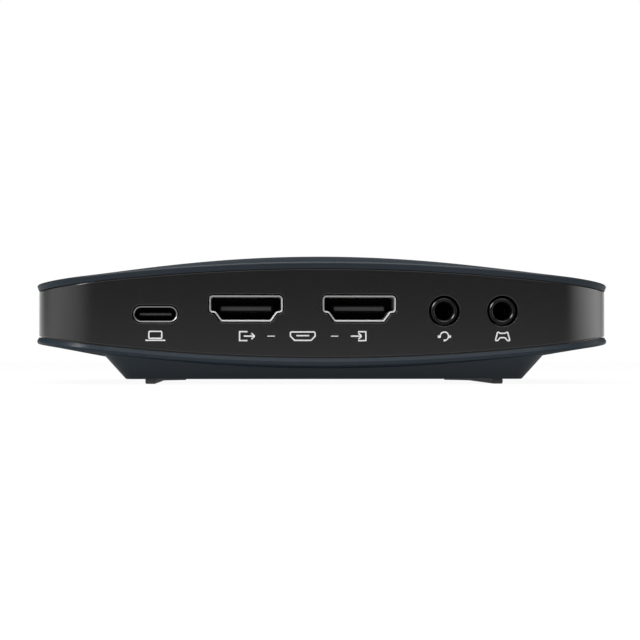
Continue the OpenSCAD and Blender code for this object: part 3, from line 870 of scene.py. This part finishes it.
@dataclass
class Foot:
    """Rubber strip with a straight run that bends inwards at its front end."""

    node: str
    side: float
    x: float
    rear: float
    height: float
    run: float = 40.0
    bend: float = 11.0
    bend_turn: float = 58.0
    width: float = 2.2
    seat: float = 0.4
    gap: float = 0.05
    edge: Edge = Edge(0.3, 0.3, steps=4)
    run_steps: int = 12
    bend_steps: int = 24

    @classmethod
    def from_frame(cls, node: str, floor: float) -> "Foot":
        """Foot at its CAD node's place.

        Args:
            node: CAD node of the foot.
            floor: Height of the base's underside.

        Returns:
            The foot.
        """
        low, high = span(node)
        side = math.copysign(1.0, low[0] + high[0])
        outer = high[0] if side > 0 else -low[0]
        return cls(node, side, outer - cls.width / 2, low[1], floor)

    def path(self, extra: float) -> tuple[Array, Array]:
        """Centre line and its outward normals in plan, lengthened at both ends.

        The run is straight along Y, and the bend turns about a centre one bend radius inwards.

        Args:
            extra: Length added at each end.

        Returns:
            Points and normals, one row each.
        """
        y = np.linspace(self.rear - extra, self.rear + self.run, self.run_steps, endpoint=False)
        turn = math.radians(self.bend_turn) + extra / self.bend
        arc = turned(np.linspace(0, turn, self.bend_steps + 1))
        straight = np.stack([np.full_like(y, self.x), y], 1)
        line = np.concatenate([straight, arc * self.bend + [self.x - self.bend, self.rear + self.run]])
        normal = np.concatenate([np.tile([1.0, 0.0], (self.run_steps, 1)), arc])
        return line * [self.side, 1.0], normal * [self.side, 1.0]

    def edges(self, gap: float) -> tuple[Array, Array]:
        """Outer and inner edge of the strip in plan, grown by a gap."""
        line, normal = self.path(gap)
        return line + normal * (self.width / 2 + gap), line - normal * (self.width / 2 + gap)

    def loop(self, gap: float) -> Array:
        """Closed outline of the strip in plan, grown by a gap."""
        outer, inner = self.edges(gap)
        return np.concatenate([outer, inner[::-1]])

    def cut(self, surface: Surface, floor: float) -> None:
        """Add the strip's groove to the tray's underside.

        Args:
            surface: Tray that has the groove.
            floor: Height of the underside.
        """
        loop = self.loop(self.gap)
        surface.rings(np.stack([at_height(loop, z) for z in (floor, floor + self.seat)]))
        roof = at_height(np.stack(self.edges(self.gap)), floor + self.seat)
        surface.add(roof, grid_faces(2, roof.shape[1], False, False).reshape(-1, 4))

    def build(self) -> None:
        """Carry a section with two rounded lower edges along the path, and dress it.

        Each ring is a point of the path plus its normal times the section's reach, at the section's heights.
        """
        line, normal = self.path(0.0)
        half, top = self.width / 2, self.height + self.seat
        low = self.edge.rows()[::-1] + [-half, 0.0]
        section = np.concatenate([[[-half, top]], low, low[::-1] * [-1, 1], [[half, top]]])
        flat = line[:, None, :] + normal[:, None, :] * section[None, :, :1]
        surface = Surface()
        surface.rings(at_height(flat, section[:, 1]), Cap.FACE, Cap.FACE)
        FOOT.dress(surface.build(f"{self.node}_strip"), node=self.node)


@dataclass
class Band:
    """Arched ring between the covers, with cut-outs at the rear and a slot at the front."""

    body: Body
    edge: Edge = Edge(0.12, 0.12, steps=4)
    lip: Edge = Edge(0.2, 0.2, steps=4)
    border: float = 0.06
    wall_rows: int = 7

    def lip_rows(self, seam: Level, up: float) -> list[Array]:
        """Rows from the band's outer face over its rounded lip and the shadow gap to its inner face.

        The first row is a narrow border that keeps the flat face's shading flat up to the lip.

        Args:
            seam: Level of the seam.
            up: 1 at the upper seam, -1 at the lower one.

        Returns:
            Rows of points in space.
        """
        body = self.body
        gap = -up * (body.high_reveal if up > 0 else body.low_reveal)
        groove = body.step + body.reveal_depth
        rows = [body.row(body.step, seam, gap - up * (self.lip.drop + self.border))]
        rows += [body.row(body.step + inwards, seam, gap - up * away) for away, inwards in self.lip.rows()]
        return rows + [body.row(groove, seam, gap), body.row(groove, seam), body.row(body.inset, seam)]

    def wall(
        self, surface: Surface, low: Array, high: Array, rear: list[Array], front: list[Array]
    ) -> None:
        """Add one face of the band: a grid round it, with flat fills where its cut-outs are.

        The grid's rows lie at equal shares between the face's two edges, and each fill takes the place of a
        long side.

        Args:
            surface: Surface to add to.
            low: Row along the face's lower edge.
            high: Row along its upper edge.
            rear: Cut-outs of the rear side, drawn in X and Z.
            front: Cut-outs of the front side.
        """
        share = np.linspace(0, 1, self.wall_rows)[:, None, None]
        grid = low + (high - low) * share
        faces = grid_faces(self.wall_rows, grid.shape[1], False, True)
        long, short = self.body.side_steps
        starts = {0: rear, long + short + 2 * self.body.corner_steps: front}
        keep = np.ones(faces.shape[1], bool)
        for start, holes in starts.items():
            keep[start:start + long] = False
            side = grid[:, start:start + long + 1]
            loop = np.concatenate([side[0], side[1:, -1], side[-1, -2::-1], side[-2:0:-1, 0]])
            y = float(side[0, 0, 1])
            surface.fill([loop[:, [0, 2]], *holes], lambda flat, y=y: on_plane(flat, y))
        surface.add(grid, faces[:, keep].reshape(-1, 4))

    def build(self, rear: Sequence[Profile], front: Sequence[Profile]) -> None:
        """Join both faces, both lips and the cut-outs' walls, and dress the band.

        Args:
            rear: Outlines of the rear cut-outs, each for a growth.
            front: Outlines of the front cut-outs.
        """
        body = self.body
        top = self.lip_rows(Level.HIGH_SEAM, 1.0)
        bottom = self.lip_rows(Level.LOW_SEAM, -1.0)
        surface = Surface()
        surface.rings(np.stack(top))
        surface.rings(np.stack(bottom))
        reach = self.edge.inset + self.border
        for row, grow in ((0, reach), (-1, 0.0)):
            drawn = [[hole(grow) for hole in holes] for holes in (rear, front)]
            self.wall(surface, bottom[row], top[row], *drawn)
        steps = [(reach, 0.0), *self.edge.rows(), (0.0, body.wall)]
        for holes, face, way in ((rear, body.panel, 1.0), (front, -body.panel, -1.0)):
            for hole in holes:
                surface.rings(np.stack([on_plane(hole(grow), face + way * deep) for grow, deep in steps]))
        BAND.dress(surface.build("port_band_ring"), node="port_band")


@dataclass
class Socket:
    """Socket with a sheet shell whose mouth flares, and a tongue on a base block.

    The lip's round, slanted face and depth are shares of the sheet's thickness. The nose is the drop of its
    chamfer, its growth and its length, and the chamfer's run is a share of that length.
    """

    name: str
    x: float
    z: float
    mouth: float
    back: float
    width: float
    height: float
    finish: Finish
    make: str
    tabs: float
    sheet: float
    tongue: Pair
    nose: Triple
    steps: int
    gap: float = 0.25
    lip_round: float = 0.12
    lip_face: float = 0.9
    lip_depth: float = 0.4
    lip_steps: int = 4
    block: float = 2.4
    block_gap: float = 0.05
    nose_run: float = 0.8
    tongue_round: float = 0.2
    tongue_steps: int = 4
    plate: float = 0.02

    @classmethod
    def from_frame(cls, name: str) -> "Socket":
        """Socket at its CAD nodes' place.

        Args:
            name: Name that its nodes' names start with.

        Returns:
            The socket.
        """
        low, high = span(f"{name}_shell")
        height = high[2] - low[2] - cls.tabs
        x = (low[0] + high[0]) / 2
        return cls(name, x, high[2] - height / 2, low[1], high[1], high[0] - low[0], height)

    def outline(self, grow: float) -> Array:
        """Outline of the shell's outer face, moved outwards, in X and Z."""
        raise NotImplementedError

    def cutout(self, grow: float) -> Array:
        """Outline of the hole in the band, moved outwards, in X and Z."""
        return self.outline(self.gap + grow)

    def build(self) -> None:
        """Form the shell with a flared lip, mould the tongue, and dress both.

        The shell's rows are its outline at a growth and a depth each: from the outer face's back end over
        the rounded lip, the slanted face and the flare to the inner face's back end.
        """
        lip = self.lip_round * self.sheet
        depth = self.mouth + self.lip_depth * self.sheet
        rounding = Edge(lip, lip, steps=self.lip_steps).rows()
        steps = [
            (0.0, self.back),
            *((-inwards, self.mouth + away) for away, inwards in rounding),
            (-self.lip_face * self.sheet, depth),
            (-self.sheet, 2 * depth - self.mouth),
            (-self.sheet, self.back),
        ]
        shell = Surface()
        shell.rings(np.stack([on_plane(self.outline(grow), y) for grow, y in steps]), loop=True)
        self.finish.dress(shell.build(f"{self.name}_shell_{self.make}"), node=f"{self.name}_shell")
        self.mould()

    def section(self, grow: float, y: float) -> Array:
        """Rounded outline of the tongue's bar, moved outwards, at a depth.

        Args:
            grow: Distance moved outwards.
            y: Depth of the section.

        Returns:
            Points in space.
        """
        wide, high = self.tongue[0] + 2 * grow, self.tongue[1] + 2 * grow
        flat = rounded_box(wide, high, self.tongue_round * high, self.tongue_steps)
        return on_plane(flat + [self.x, self.z], y)

    def mould(self) -> None:
        """Mould the tongue on its base block, and dress it.

        It is a bar along Y with a chamfered nose that stands proud of it and covers its contacts' ends. The
        nose's flat face is a plate of its own in a paler copy of the tongue's finish: painted light on the
        face that looks to the lamps.
        """
        (_, front, _), (_, back, _) = span(f"{self.name}_tongue")
        slope, proud, length = self.nose
        sections = [
            (proud - slope, front), (proud, front + self.nose_run * length), (proud, front + length),
            (0.0, front + length), (0.0, back),
        ]
        block = self.outline(-self.sheet - self.block_gap)
        bar, face = Surface(), Surface()
        bar.rings(np.stack([self.section(*place) for place in sections]), Cap.FACE, Cap.FACE)
        bar.rings(np.stack([on_plane(block, y) for y in (back - self.block, back)]), Cap.FACE, Cap.FACE)
        TONGUE.dress(bar.build(f"{self.name}_tongue_bar"), node=f"{self.name}_tongue")
        sides = [self.section(proud - slope, y) for y in (front - self.plate, front + self.plate)]
        face.rings(np.stack(sides), Cap.FACE, Cap.FACE)
        LIT_TIP.dress(face.build(f"{self.name}_tongue_lit_face"))


@dataclass
class VideoSocket(Socket):
    """Digital video socket: a folded shell with two ledges."""

    finish: Finish = SHELL
    make: str = "folded"
    tabs: float = 0.35
    sheet: float = 0.35
    tongue: Pair = (10.6, 1.2)
    nose: Triple = (0.32, 0.1, 0.6)
    steps: int = 6
    foot: float = 10.1
    upright: float = 3.5
    ledge: float = 1.1
    radii: tuple[float, ...] = (0.8, 0.7, 0.55, 0.6)
    least_radius: float = 0.05

    def outline(self, grow: float) -> Array:
        """Outline of the shell's outer face, moved outwards, in X and Z.

        Each side is upright down to its ledge, and from the ledge's inner end a straight line leans inwards
        to the foot. That line's X moves outwards by the growth times its length for a unit of height.

        Args:
            grow: Distance moved outwards.

        Returns:
            Points in order, one row each.
        """
        top = np.array([self.width / 2 - self.ledge, self.height / 2 - self.upright])
        end = np.array([self.foot / 2, -self.height / 2])
        lean = (top - end) / (top[1] - end[1])
        run = float(np.linalg.norm(lean))
        side, high, low = self.width / 2 + grow, self.height / 2 + grow, top[1] - grow
        inner = end[0] + lean[0] * (low - end[1]) + grow * run
        base = end[0] + lean[0] * (-high - end[1]) + grow * run
        half = np.array([[side, high], [side, low], [inner, low], [base, -high]])
        corners = np.concatenate([half * [-1, 1], half[::-1]])
        radii = np.array(self.radii) + grow * np.array([1, 1, -1, 1])
        radii = np.maximum(np.concatenate([radii, radii[::-1]]), self.least_radius)
        return rounded_polygon(corners, radii, self.steps) + [self.x, self.z]


@dataclass
class DataSocket(Socket):
    """Reversible data socket: a drawn shell with half-round ends."""

    finish: Finish = DRAWN
    make: str = "drawn"
    tabs: float = 0.2
    sheet: float = 0.3
    tongue: Pair = (6.69, 0.7)
    nose: Triple = (0.25, 0.1, 0.6)
    steps: int = 24

    def outline(self, grow: float) -> Array:
        """Outline of the shell's outer face, moved outwards, in X and Z.

        It is two half circles of half the height, whose centres lie apart by the width less the height.

        Args:
            grow: Distance moved outwards.

        Returns:
            Points in order, one row each.
        """
        turn = np.linspace(0.5, 1.5, self.steps + 1) * np.pi
        end = (self.height / 2 + grow) * turned(turn) - [(self.width - self.height) / 2, 0]
        return np.concatenate([end, -end]) + [self.x, self.z]


@dataclass
class Jack:
    """Audio jack: a moulded housing behind a round hole in the band, and three contact springs.

    The nose has its inner and outer radius, and the chamfer its width and depth.
    """

    name: str
    x: float
    z: float
    hole: float = 6.3
    nose: Pair = (2.0, 2.66)
    setback: float = 0.12
    chamfer: Pair = (0.21, 0.151)
    steps: int = 64
    housing_sharp: float = 50.0
    nose_sharp: float = 20.0

    @classmethod
    def from_frame(cls, name: str) -> "Jack":
        """Jack at its CAD node's place."""
        low, high = span(f"{name}_jack")
        return cls(name, (low[0] + high[0]) / 2, (low[2] + high[2]) / 2)

    def cutout(self, grow: float) -> Array:
        """Outline of the hole in the band, moved outwards, in X and Z."""
        return circle(self.hole / 2 + grow, self.steps, (self.x, self.z))

    def turn(self, part: str, finish: Finish, profiles: Sequence[Sequence[Pair]]) -> None:
        """Turn closed profiles of radius and depth about the jack's axis, and dress them as one piece.

        Args:
            part: Last word of the piece's name.
            finish: Finish of the piece.
            profiles: Radius and Y of each corner, in order.
        """
        surface = Surface()
        for profile in profiles:
            rows = [on_plane(circle(radius, self.steps, (self.x, self.z)), y) for radius, y in profile]
            surface.rings(np.stack(rows), loop=True)
        finish.dress(surface.build(f"{self.name}_jack_{part}", self.nose_sharp))

    def build(self) -> None:
        """Dress smooth copies of the housing and of the springs, and turn the nose that stands in the hole.

        The nose is a matt tube about the jack's axis, and its two front edges are glossy chamfers.
        """
        housing = cad_copy(f"{self.name}_jack", self.housing_sharp)
        housing.modifiers.clear()
        NOSE.dress(housing, node=f"{self.name}_jack")
        (bore, wall), (wide, deep) = self.nose, self.chamfer
        front = span("port_band")[0][1] + self.setback
        root = span(f"{self.name}_jack")[0][1] + deep
        inner, outer, back = bore + wide, wall - wide, front + deep
        self.turn("nose", NOSE, [[
            (wall, root), (wall, back), (outer, back), (outer, front),
            (inner, front), (inner, back), (bore, back), (bore, root),
        ]])
        self.turn("edge", NOSE_EDGE, [
            [(wall, back), (outer, front), (outer, back)],
            [(inner, front), (bore, back), (inner, back)],
        ])
        for kind in ("tip", "ring", "sleeve"):
            node = f"{self.name}_{kind}_spring"
            SHADED_SPRING.dress(cad_copy(node), body=node, node=node)


@dataclass
class Legends:
    """Printed pictograms below the sockets, as thin raised strokes that lie in layers where they cross."""

    face: float
    z: float = 9.8
    stroke: float = 0.27
    dash: float = 0.18
    proud: float = 0.03
    sunk: float = 0.03
    layer: float = 0.002
    shaft: float = 2.2
    barb: Pair = (0.65, 0.6)
    blunt: float = 0.1
    ear: float = 0.5
    mouthpiece: float = 0.4
    corner_steps: int = 5
    arc_steps: int = 24

    @staticmethod
    def sides(path: Array, closed: bool, width: float) -> tuple[Array, Array]:
        """Left and right side of a stroke.

        They are its path moved half a width along the mean normal of the two lines that meet at a point.

        Args:
            path: Points of the stroke.
            closed: Whether its last point joins its first.
            width: Its width.

        Returns:
            Points of both sides.
        """
        ahead = np.roll(path, -1, 0) - path
        if not closed:
            ahead[-1] = ahead[-2]
        ahead = ahead / np.linalg.norm(ahead, axis=1, keepdims=True)
        behind = np.roll(ahead, 1, 0)
        if not closed:
            behind[0] = ahead[0]
        mean = ahead + behind
        mean = mean / (mean * ahead).sum(1, keepdims=True)
        normal = np.stack([-mean[:, 1], mean[:, 0]], 1) * width / 2
        return path + normal, path - normal

    def draw(self, name: str, x: float, strokes: Sequence[Stroke]) -> None:
        """Carry a flat section along each stroke, and dress the pictogram.

        The section's four corners are the stroke's two sides, each at its front and its back.

        Args:
            name: Name of the pictogram.
            x: Place of its middle.
            strokes: Paths in X and Z about that middle, whether each is closed, and its width.
        """
        surface = Surface()
        back = self.face + self.sunk
        for number, (path, closed, width) in enumerate(strokes):
            left, right = self.sides(path + [x, self.z], closed, width)
            front = self.face - self.proud - number * self.layer
            corners = ((left, front), (left, back), (right, back), (right, front))
            cap = Cap.OPEN if closed else Cap.FACE
            surface.rings(np.stack([on_plane(flat, y) for flat, y in corners], 1), cap, cap, loop=closed)
        INK.dress(surface.build(f"legend_{name}"))

    def line(self, *points: Sequence[float], width: float | None = None) -> Stroke:
        """Open stroke through points."""
        return np.array(points, float), False, width or self.stroke

    def shape(self, corners: Sequence[Sequence[float]], radius: float) -> Stroke:
        """Closed stroke round a polygon with round corners."""
        return rounded_polygon(np.array(corners, float), radius, self.corner_steps), True, self.stroke

    def arc(self, radius: float, start: float, end: float) -> Stroke:
        """Open stroke along part of a circle about the middle, between two angles in degrees."""
        turn = np.radians(np.linspace(start, end, self.arc_steps + 1))
        return radius * turned(turn), False, self.stroke

    def arrow(self, tip: float) -> list[Stroke]:
        """Strokes of an arrow to the right: a shaft that ends just before the tip, and two barbs.

        Args:
            tip: Place of its tip, right of the middle.

        Returns:
            Three open strokes.
        """
        back, rise = self.barb
        barbs = [self.line((tip - back, side * rise), (tip, 0)) for side in (1, -1)]
        return [self.line((tip - self.shaft, 0), (tip - self.blunt, 0)), *barbs]

    def build(self, data: Socket, out: Socket, into: Socket, jacks: Sequence[Jack]) -> None:
        """Draw the six pictograms below their sockets.

        Args:
            data: Data socket.
            out: Video output socket.
            into: Video input socket.
            jacks: Headset jack and controller jack.
        """
        screen = [(-1.3, 0.95), (-1.3, -0.45), (1.3, -0.45), (1.3, 0.95)]
        self.draw("computer", data.x, [self.shape(screen, 0.2), self.line((-2.0, -0.85), (2.0, -0.85))])
        bracket = np.array([(0.3, 0.9), (-1.3, 0.9), (-1.3, -0.9), (0.3, -0.9)])
        self.draw("output", out.x, [self.line(*bracket), *self.arrow(1.75)])
        self.draw("input", into.x, [self.line(*bracket * [-1, 1]), *self.arrow(0.45)])
        port = [(-2.5, 0.85), (-2.5, 0.0), (-1.7, -0.85), (1.7, -0.85), (2.5, 0.0), (2.5, 0.85)]
        self.draw("video", (out.x + into.x) / 2, [
            self.shape(port, 0.25),
            self.line((-1.3, 0.1), (1.3, 0.1)),
            self.line((-7.2, 0), (-5.7, 0), width=self.dash),
            self.line((5.7, 0), (7.2, 0), width=self.dash),
        ])
        headset, controller = jacks
        self.draw("headset", headset.x, [
            self.arc(0.85, 190, -85),
            self.line((-1.35, -0.1), (-0.75, -0.1), width=self.ear),
            self.line((0.75, -0.1), (1.35, -0.1), width=self.ear),
            self.line((-0.15, -0.85), (0.25, -0.85), width=self.mouthpiece),
        ])
        pad = [
            (-0.5, 0.6), (-1.0, 0.9), (-1.5, -0.9), (-1.0, -0.9), (-0.5, -0.3),
            (0.5, -0.3), (1.0, -0.9), (1.5, -0.9), (1.0, 0.9), (0.5, 0.6),
        ]
        self.draw("controller", controller.x, [self.shape(pad, 0.18)])


@dataclass
class InnerParts:
    """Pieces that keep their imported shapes: contacts, board, chips, heat sink, light bar and screws."""

    finishes: tuple[Finish, ...] = (CONTACT, BOARD, CHIP, PAD, SINK, CAN, COIL, CERAMIC, EMITTER)
    bar_edge: float = 0.12
    bar_steps: int = 3

    def build(self) -> None:
        """Paint the inner CAD nodes for their slots, and stand smooth copies for the screws and the bar."""
        by_slot = {finish.slot: finish for finish in self.finishes}
        for part in frame["record"]["subparts"]:
            finish = by_slot.get(part["material_slot"])
            if finish is not None:
                finish.cover(frame["nodes"][part["node"]].data)
                LOG.info("%s wears %s", part["node"], finish.name)
        SCREW.dress(cad_copy("case_screws"), node="case_screws")
        bar = cad_copy("light_window")
        bevel = bar.modifiers.new("edges", "BEVEL")
        bevel.width = self.bar_edge * MM
        bevel.segments = self.bar_steps
        WINDOW.dress(bar, node="light_window")


@dataclass
class Light:
    """Softbox that faces a point.

    Its size and places are in metres, and its level is the radiance in the middle of its face.
    """

    name: str
    place: Triple
    aim: Triple
    size: Pair
    level: float
    fade_points: int = 13

    def fade(self, tree: Tree, along: Wire) -> Wire:
        """Square of a parabola along one side of the face, 1 in its middle and 0 at its ends.

        Args:
            tree: Node tree of the lamp.
            along: Place along the side, from 0 to 1.

        Returns:
            Output that carries the fade.
        """
        curve = add_node(tree, "FloatCurve", {"Value": along})
        points = curve.mapping.curves[0].points
        points[0].location, points[1].location = (0.0, 0.0), (1.0, 0.0)
        for share in np.linspace(0, 1, self.fade_points)[1:-1]:
            points.new(share, (4 * share * (1 - share)) ** 2)
        curve.mapping.update()
        return curve.outputs["Value"]

    def build(self) -> None:
        """Add the light to the scene: its power is radiance times area times pi, and its sides fade."""
        lamp = bpy.data.lights.new(self.name, "AREA")
        lamp.shape = "RECTANGLE"
        lamp.size, lamp.size_y = self.size
        lamp.energy = self.level * self.size[0] * self.size[1] * math.pi
        lamp.use_nodes = True
        tree = lamp.node_tree
        face = add_node(tree, "NewGeometry").outputs["Parametric"]
        sides = add_node(tree, "SeparateXYZ", {"Vector": face}).outputs
        fades = [self.fade(tree, sides[side]) for side in ("X", "Y")]
        feed(tree, tree.nodes["Emission"], {"Strength": calc(tree, "MULTIPLY", *fades)})
        holder = bpy.data.objects.new(self.name, lamp)
        holder.location = self.place
        way = Vector(self.aim) - Vector(self.place)
        holder.rotation_euler = way.to_track_quat("-Z", "Y").to_euler()
        holder.visible_camera = False
        bpy.context.scene.collection.objects.link(holder)
        LOG.info("%s lights at level %.2f", self.name, self.level)


@dataclass
class Studio:
    """Camera, white floor, pale surroundings and softboxes.

    The eye, the lens, the sensor and the floor's drop are in millimetres, other lengths in metres, and
    angles in degrees.
    """

    eye: Triple = (-16.6, -399.2, 6.94)
    yaw: float = 2.4014
    pitch: float = 0.963
    lens: float = 101.25
    sensor: float = 36.0
    clip: Pair = (0.01, 50.0)
    floor_size: float = 6.0
    floor_drop: float = 0.05
    floor_paint: Triple = (0.75, 0.75, 0.75)
    white_share: Pair = (0.94, 1.0)
    white_reach: Pair = (0.25, 0.9)
    fill: float = 0.22
    room: float = 0.1
    room_reach: Pair = (0.4, 0.9)
    room_rise: float = -2.0
    lights: tuple[Light, ...] = (
        Light("overhead", (0.0, -0.42, 0.5), (0.0, 0.0, 0.01), (1.6, 1.1), 1.7),
        Light("top", (0.0, -0.12, 0.62), (0.0, 0.0, 0.01), (1.4, 0.35), 9.0),
        Light("right_box", (0.62, 0.02, 0.1), (0.0, 0.0, 0.02), (1.2, 0.9), 2.6),
        Light("left_box", (-0.606, -0.129, 0.1), (0.0, 0.0, 0.02), (1.4, 0.9), 1.3),
        Light("key", (-0.48, -0.315, 0.39), (0.0, 0.0, 0.01), (0.15, 0.55), 37.0),
    )

    def build(self) -> None:
        """Set the view, the camera, the floor, the world and the lights."""
        bpy.context.scene.view_settings.view_transform = "Standard"
        self.build_camera()
        self.build_floor()
        self.build_world()
        for light in self.lights:
            light.build()

    def build_camera(self) -> None:
        """Stand the camera at the photograph's eye and make it the scene's."""
        lens = bpy.data.cameras.new("camera")
        lens.lens, lens.sensor_width = self.lens, self.sensor
        lens.clip_start, lens.clip_end = self.clip
        camera = bpy.data.objects.new("camera", lens)
        camera.location = Vector(self.eye) * MM
        camera.rotation_euler = (math.radians(90 + self.pitch), 0.0, math.radians(-self.yaw))
        bpy.context.scene.collection.objects.link(camera)
        bpy.context.scene.camera = camera

    @staticmethod
    def seen(tree: Tree) -> Wire:
        """Tell the rays that are seen from those that only light.

        Args:
            tree: Node tree that takes the nodes.

        Returns:
            Output that is 1 for camera, glossy and transmission rays and 0 for the rest.
        """
        rays = add_node(tree, "LightPath").outputs
        looked = calc(tree, "MAXIMUM", rays["Is Camera Ray"], rays["Is Glossy Ray"])
        return calc(tree, "MAXIMUM", looked, rays["Is Transmission Ray"])

    def build_floor(self) -> None:
        """Lay a white floor that keeps a faint shadow, fades into the background, and is clear from below.

        For seen rays it glows by the white share, which rises to 1 with the distance from the object. The
        rest is a pale paint, which takes the shadow.
        """
        flat = np.array([[-1, -1], [1, -1], [1, 1], [-1, 1]]) * self.floor_size / 2
        mesh = bpy.data.meshes.new("floor")
        mesh.from_pydata(at_height(flat, -self.floor_drop * MM).tolist(), [], [[0, 1, 2, 3]])
        floor = bpy.data.objects.new("floor", mesh)
        bpy.context.scene.collection.objects.link(floor)
        material = bpy.data.materials.new("white_floor")
        material.use_nodes = True
        tree = material.node_tree
        tree.nodes.remove(tree.nodes["Principled BSDF"])
        place = add_node(tree, "TexCoord").outputs["Object"]
        away = add_node(tree, "VectorMath", {0: place}, operation="LENGTH").outputs["Value"]
        white = remap(tree, away, self.white_reach, self.white_share)
        share = calc(tree, "MULTIPLY", self.seen(tree), white)
        paint = add_node(tree, "BsdfDiffuse", {"Color": (*self.floor_paint, 1.0)}).outputs["BSDF"]
        glow = add_node(tree, "Emission").outputs["Emission"]
        below = add_node(tree, "NewGeometry").outputs["Backfacing"]
        clear = add_node(tree, "BsdfTransparent").outputs["BSDF"]
        surface = blend(tree, below, blend(tree, share, paint, glow), clear)
        feed(tree, tree.nodes["Material Output"], {"Surface": surface})
        mesh.materials.append(material)

    def build_world(self) -> None:
        """Surround the scene with a background that is white ahead and pale behind the camera.

        What mirrors show of it goes from the room's level to white with the depth of a direction less twice
        its height. The camera sees white everywhere, and other rays get an even fill.
        """
        world = bpy.data.worlds.new("surroundings")
        world.use_nodes = True
        bpy.context.scene.world = world
        tree = world.node_tree
        fill = tree.nodes["Background"]
        feed(tree, fill, {"Color": WHITE, "Strength": self.fill})
        ray = add_node(tree, "TexCoord").outputs["Generated"]
        parts = add_node(tree, "SeparateXYZ", {"Vector": ray}).outputs
        ahead = calc(tree, "MULTIPLY_ADD", parts["Z"], self.room_rise, parts["Y"])
        level = remap(tree, ahead, self.room_reach, (self.room, 1.0))
        camera = add_node(tree, "LightPath").outputs["Is Camera Ray"]
        strength = calc(tree, "MAXIMUM", level, camera)
        shown = add_node(tree, "Background", {"Color": WHITE, "Strength": strength})
        surface = blend(tree, self.seen(tree), fill.outputs["Background"], shown.outputs["Background"])
        feed(tree, tree.nodes["World Output"], {"Surface": surface})


def light_slot(flange: float = 1.2, corner: float = 0.05, steps: int = 3) -> Profile:
    """Outline of the light bar's slot at the front, from the bar's place in the frame.

    Args:
        flange: Reach of the bar's flange past the slot.
        corner: Corner radius of the slot.
        steps: Segments in each corner.

    Returns:
        Outline in X and Z for a growth.
    """
    low, high = span("light_window")
    middle = (low + high) / 2
    size = (high - low)[[0, 2]] - 2 * flange

    def outline(grow: float) -> Array:
        """Slot moved outwards, in X and Z."""
        return rounded_box(*(size + 2 * grow), corner + grow, steps) + middle[[0, 2]]

    return outline


def screw_places(head: float = 2.2) -> Array:
    """Screw places in plan: the corners of the screws' box, moved inwards by a head's radius."""
    low, high = span("case_screws")
    return np.array([[-1, -1], [1, -1], [1, 1], [-1, 1]]) * ((high - low)[:2] / 2 - head)


def main() -> None:
    """Build every piece and the studio."""
    logging.basicConfig(level=logging.INFO, format="%(message)s")
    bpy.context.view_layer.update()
    body = Body.from_frame()
    screws = screw_places()
    feet = [Foot.from_frame(node, body.floor) for node in ("foot_left", "foot_right")]
    data = DataSocket.from_frame("data")
    videos = [VideoSocket.from_frame(name) for name in ("video_out", "video_in")]
    jacks = [Jack.from_frame(name) for name in ("headset", "controller")]
    TopCover(body).build(screws)
    BottomCover(body).build(screws, feet)
    Band(body).build([piece.cutout for piece in (data, *videos, *jacks)], [light_slot()])
    for piece in (*feet, data, *videos, *jacks):
        piece.build()
    Legends(body.panel).build(data, *videos, jacks)
    InnerParts().build()
    Studio().build()


if __name__ == "__main__":
    main()
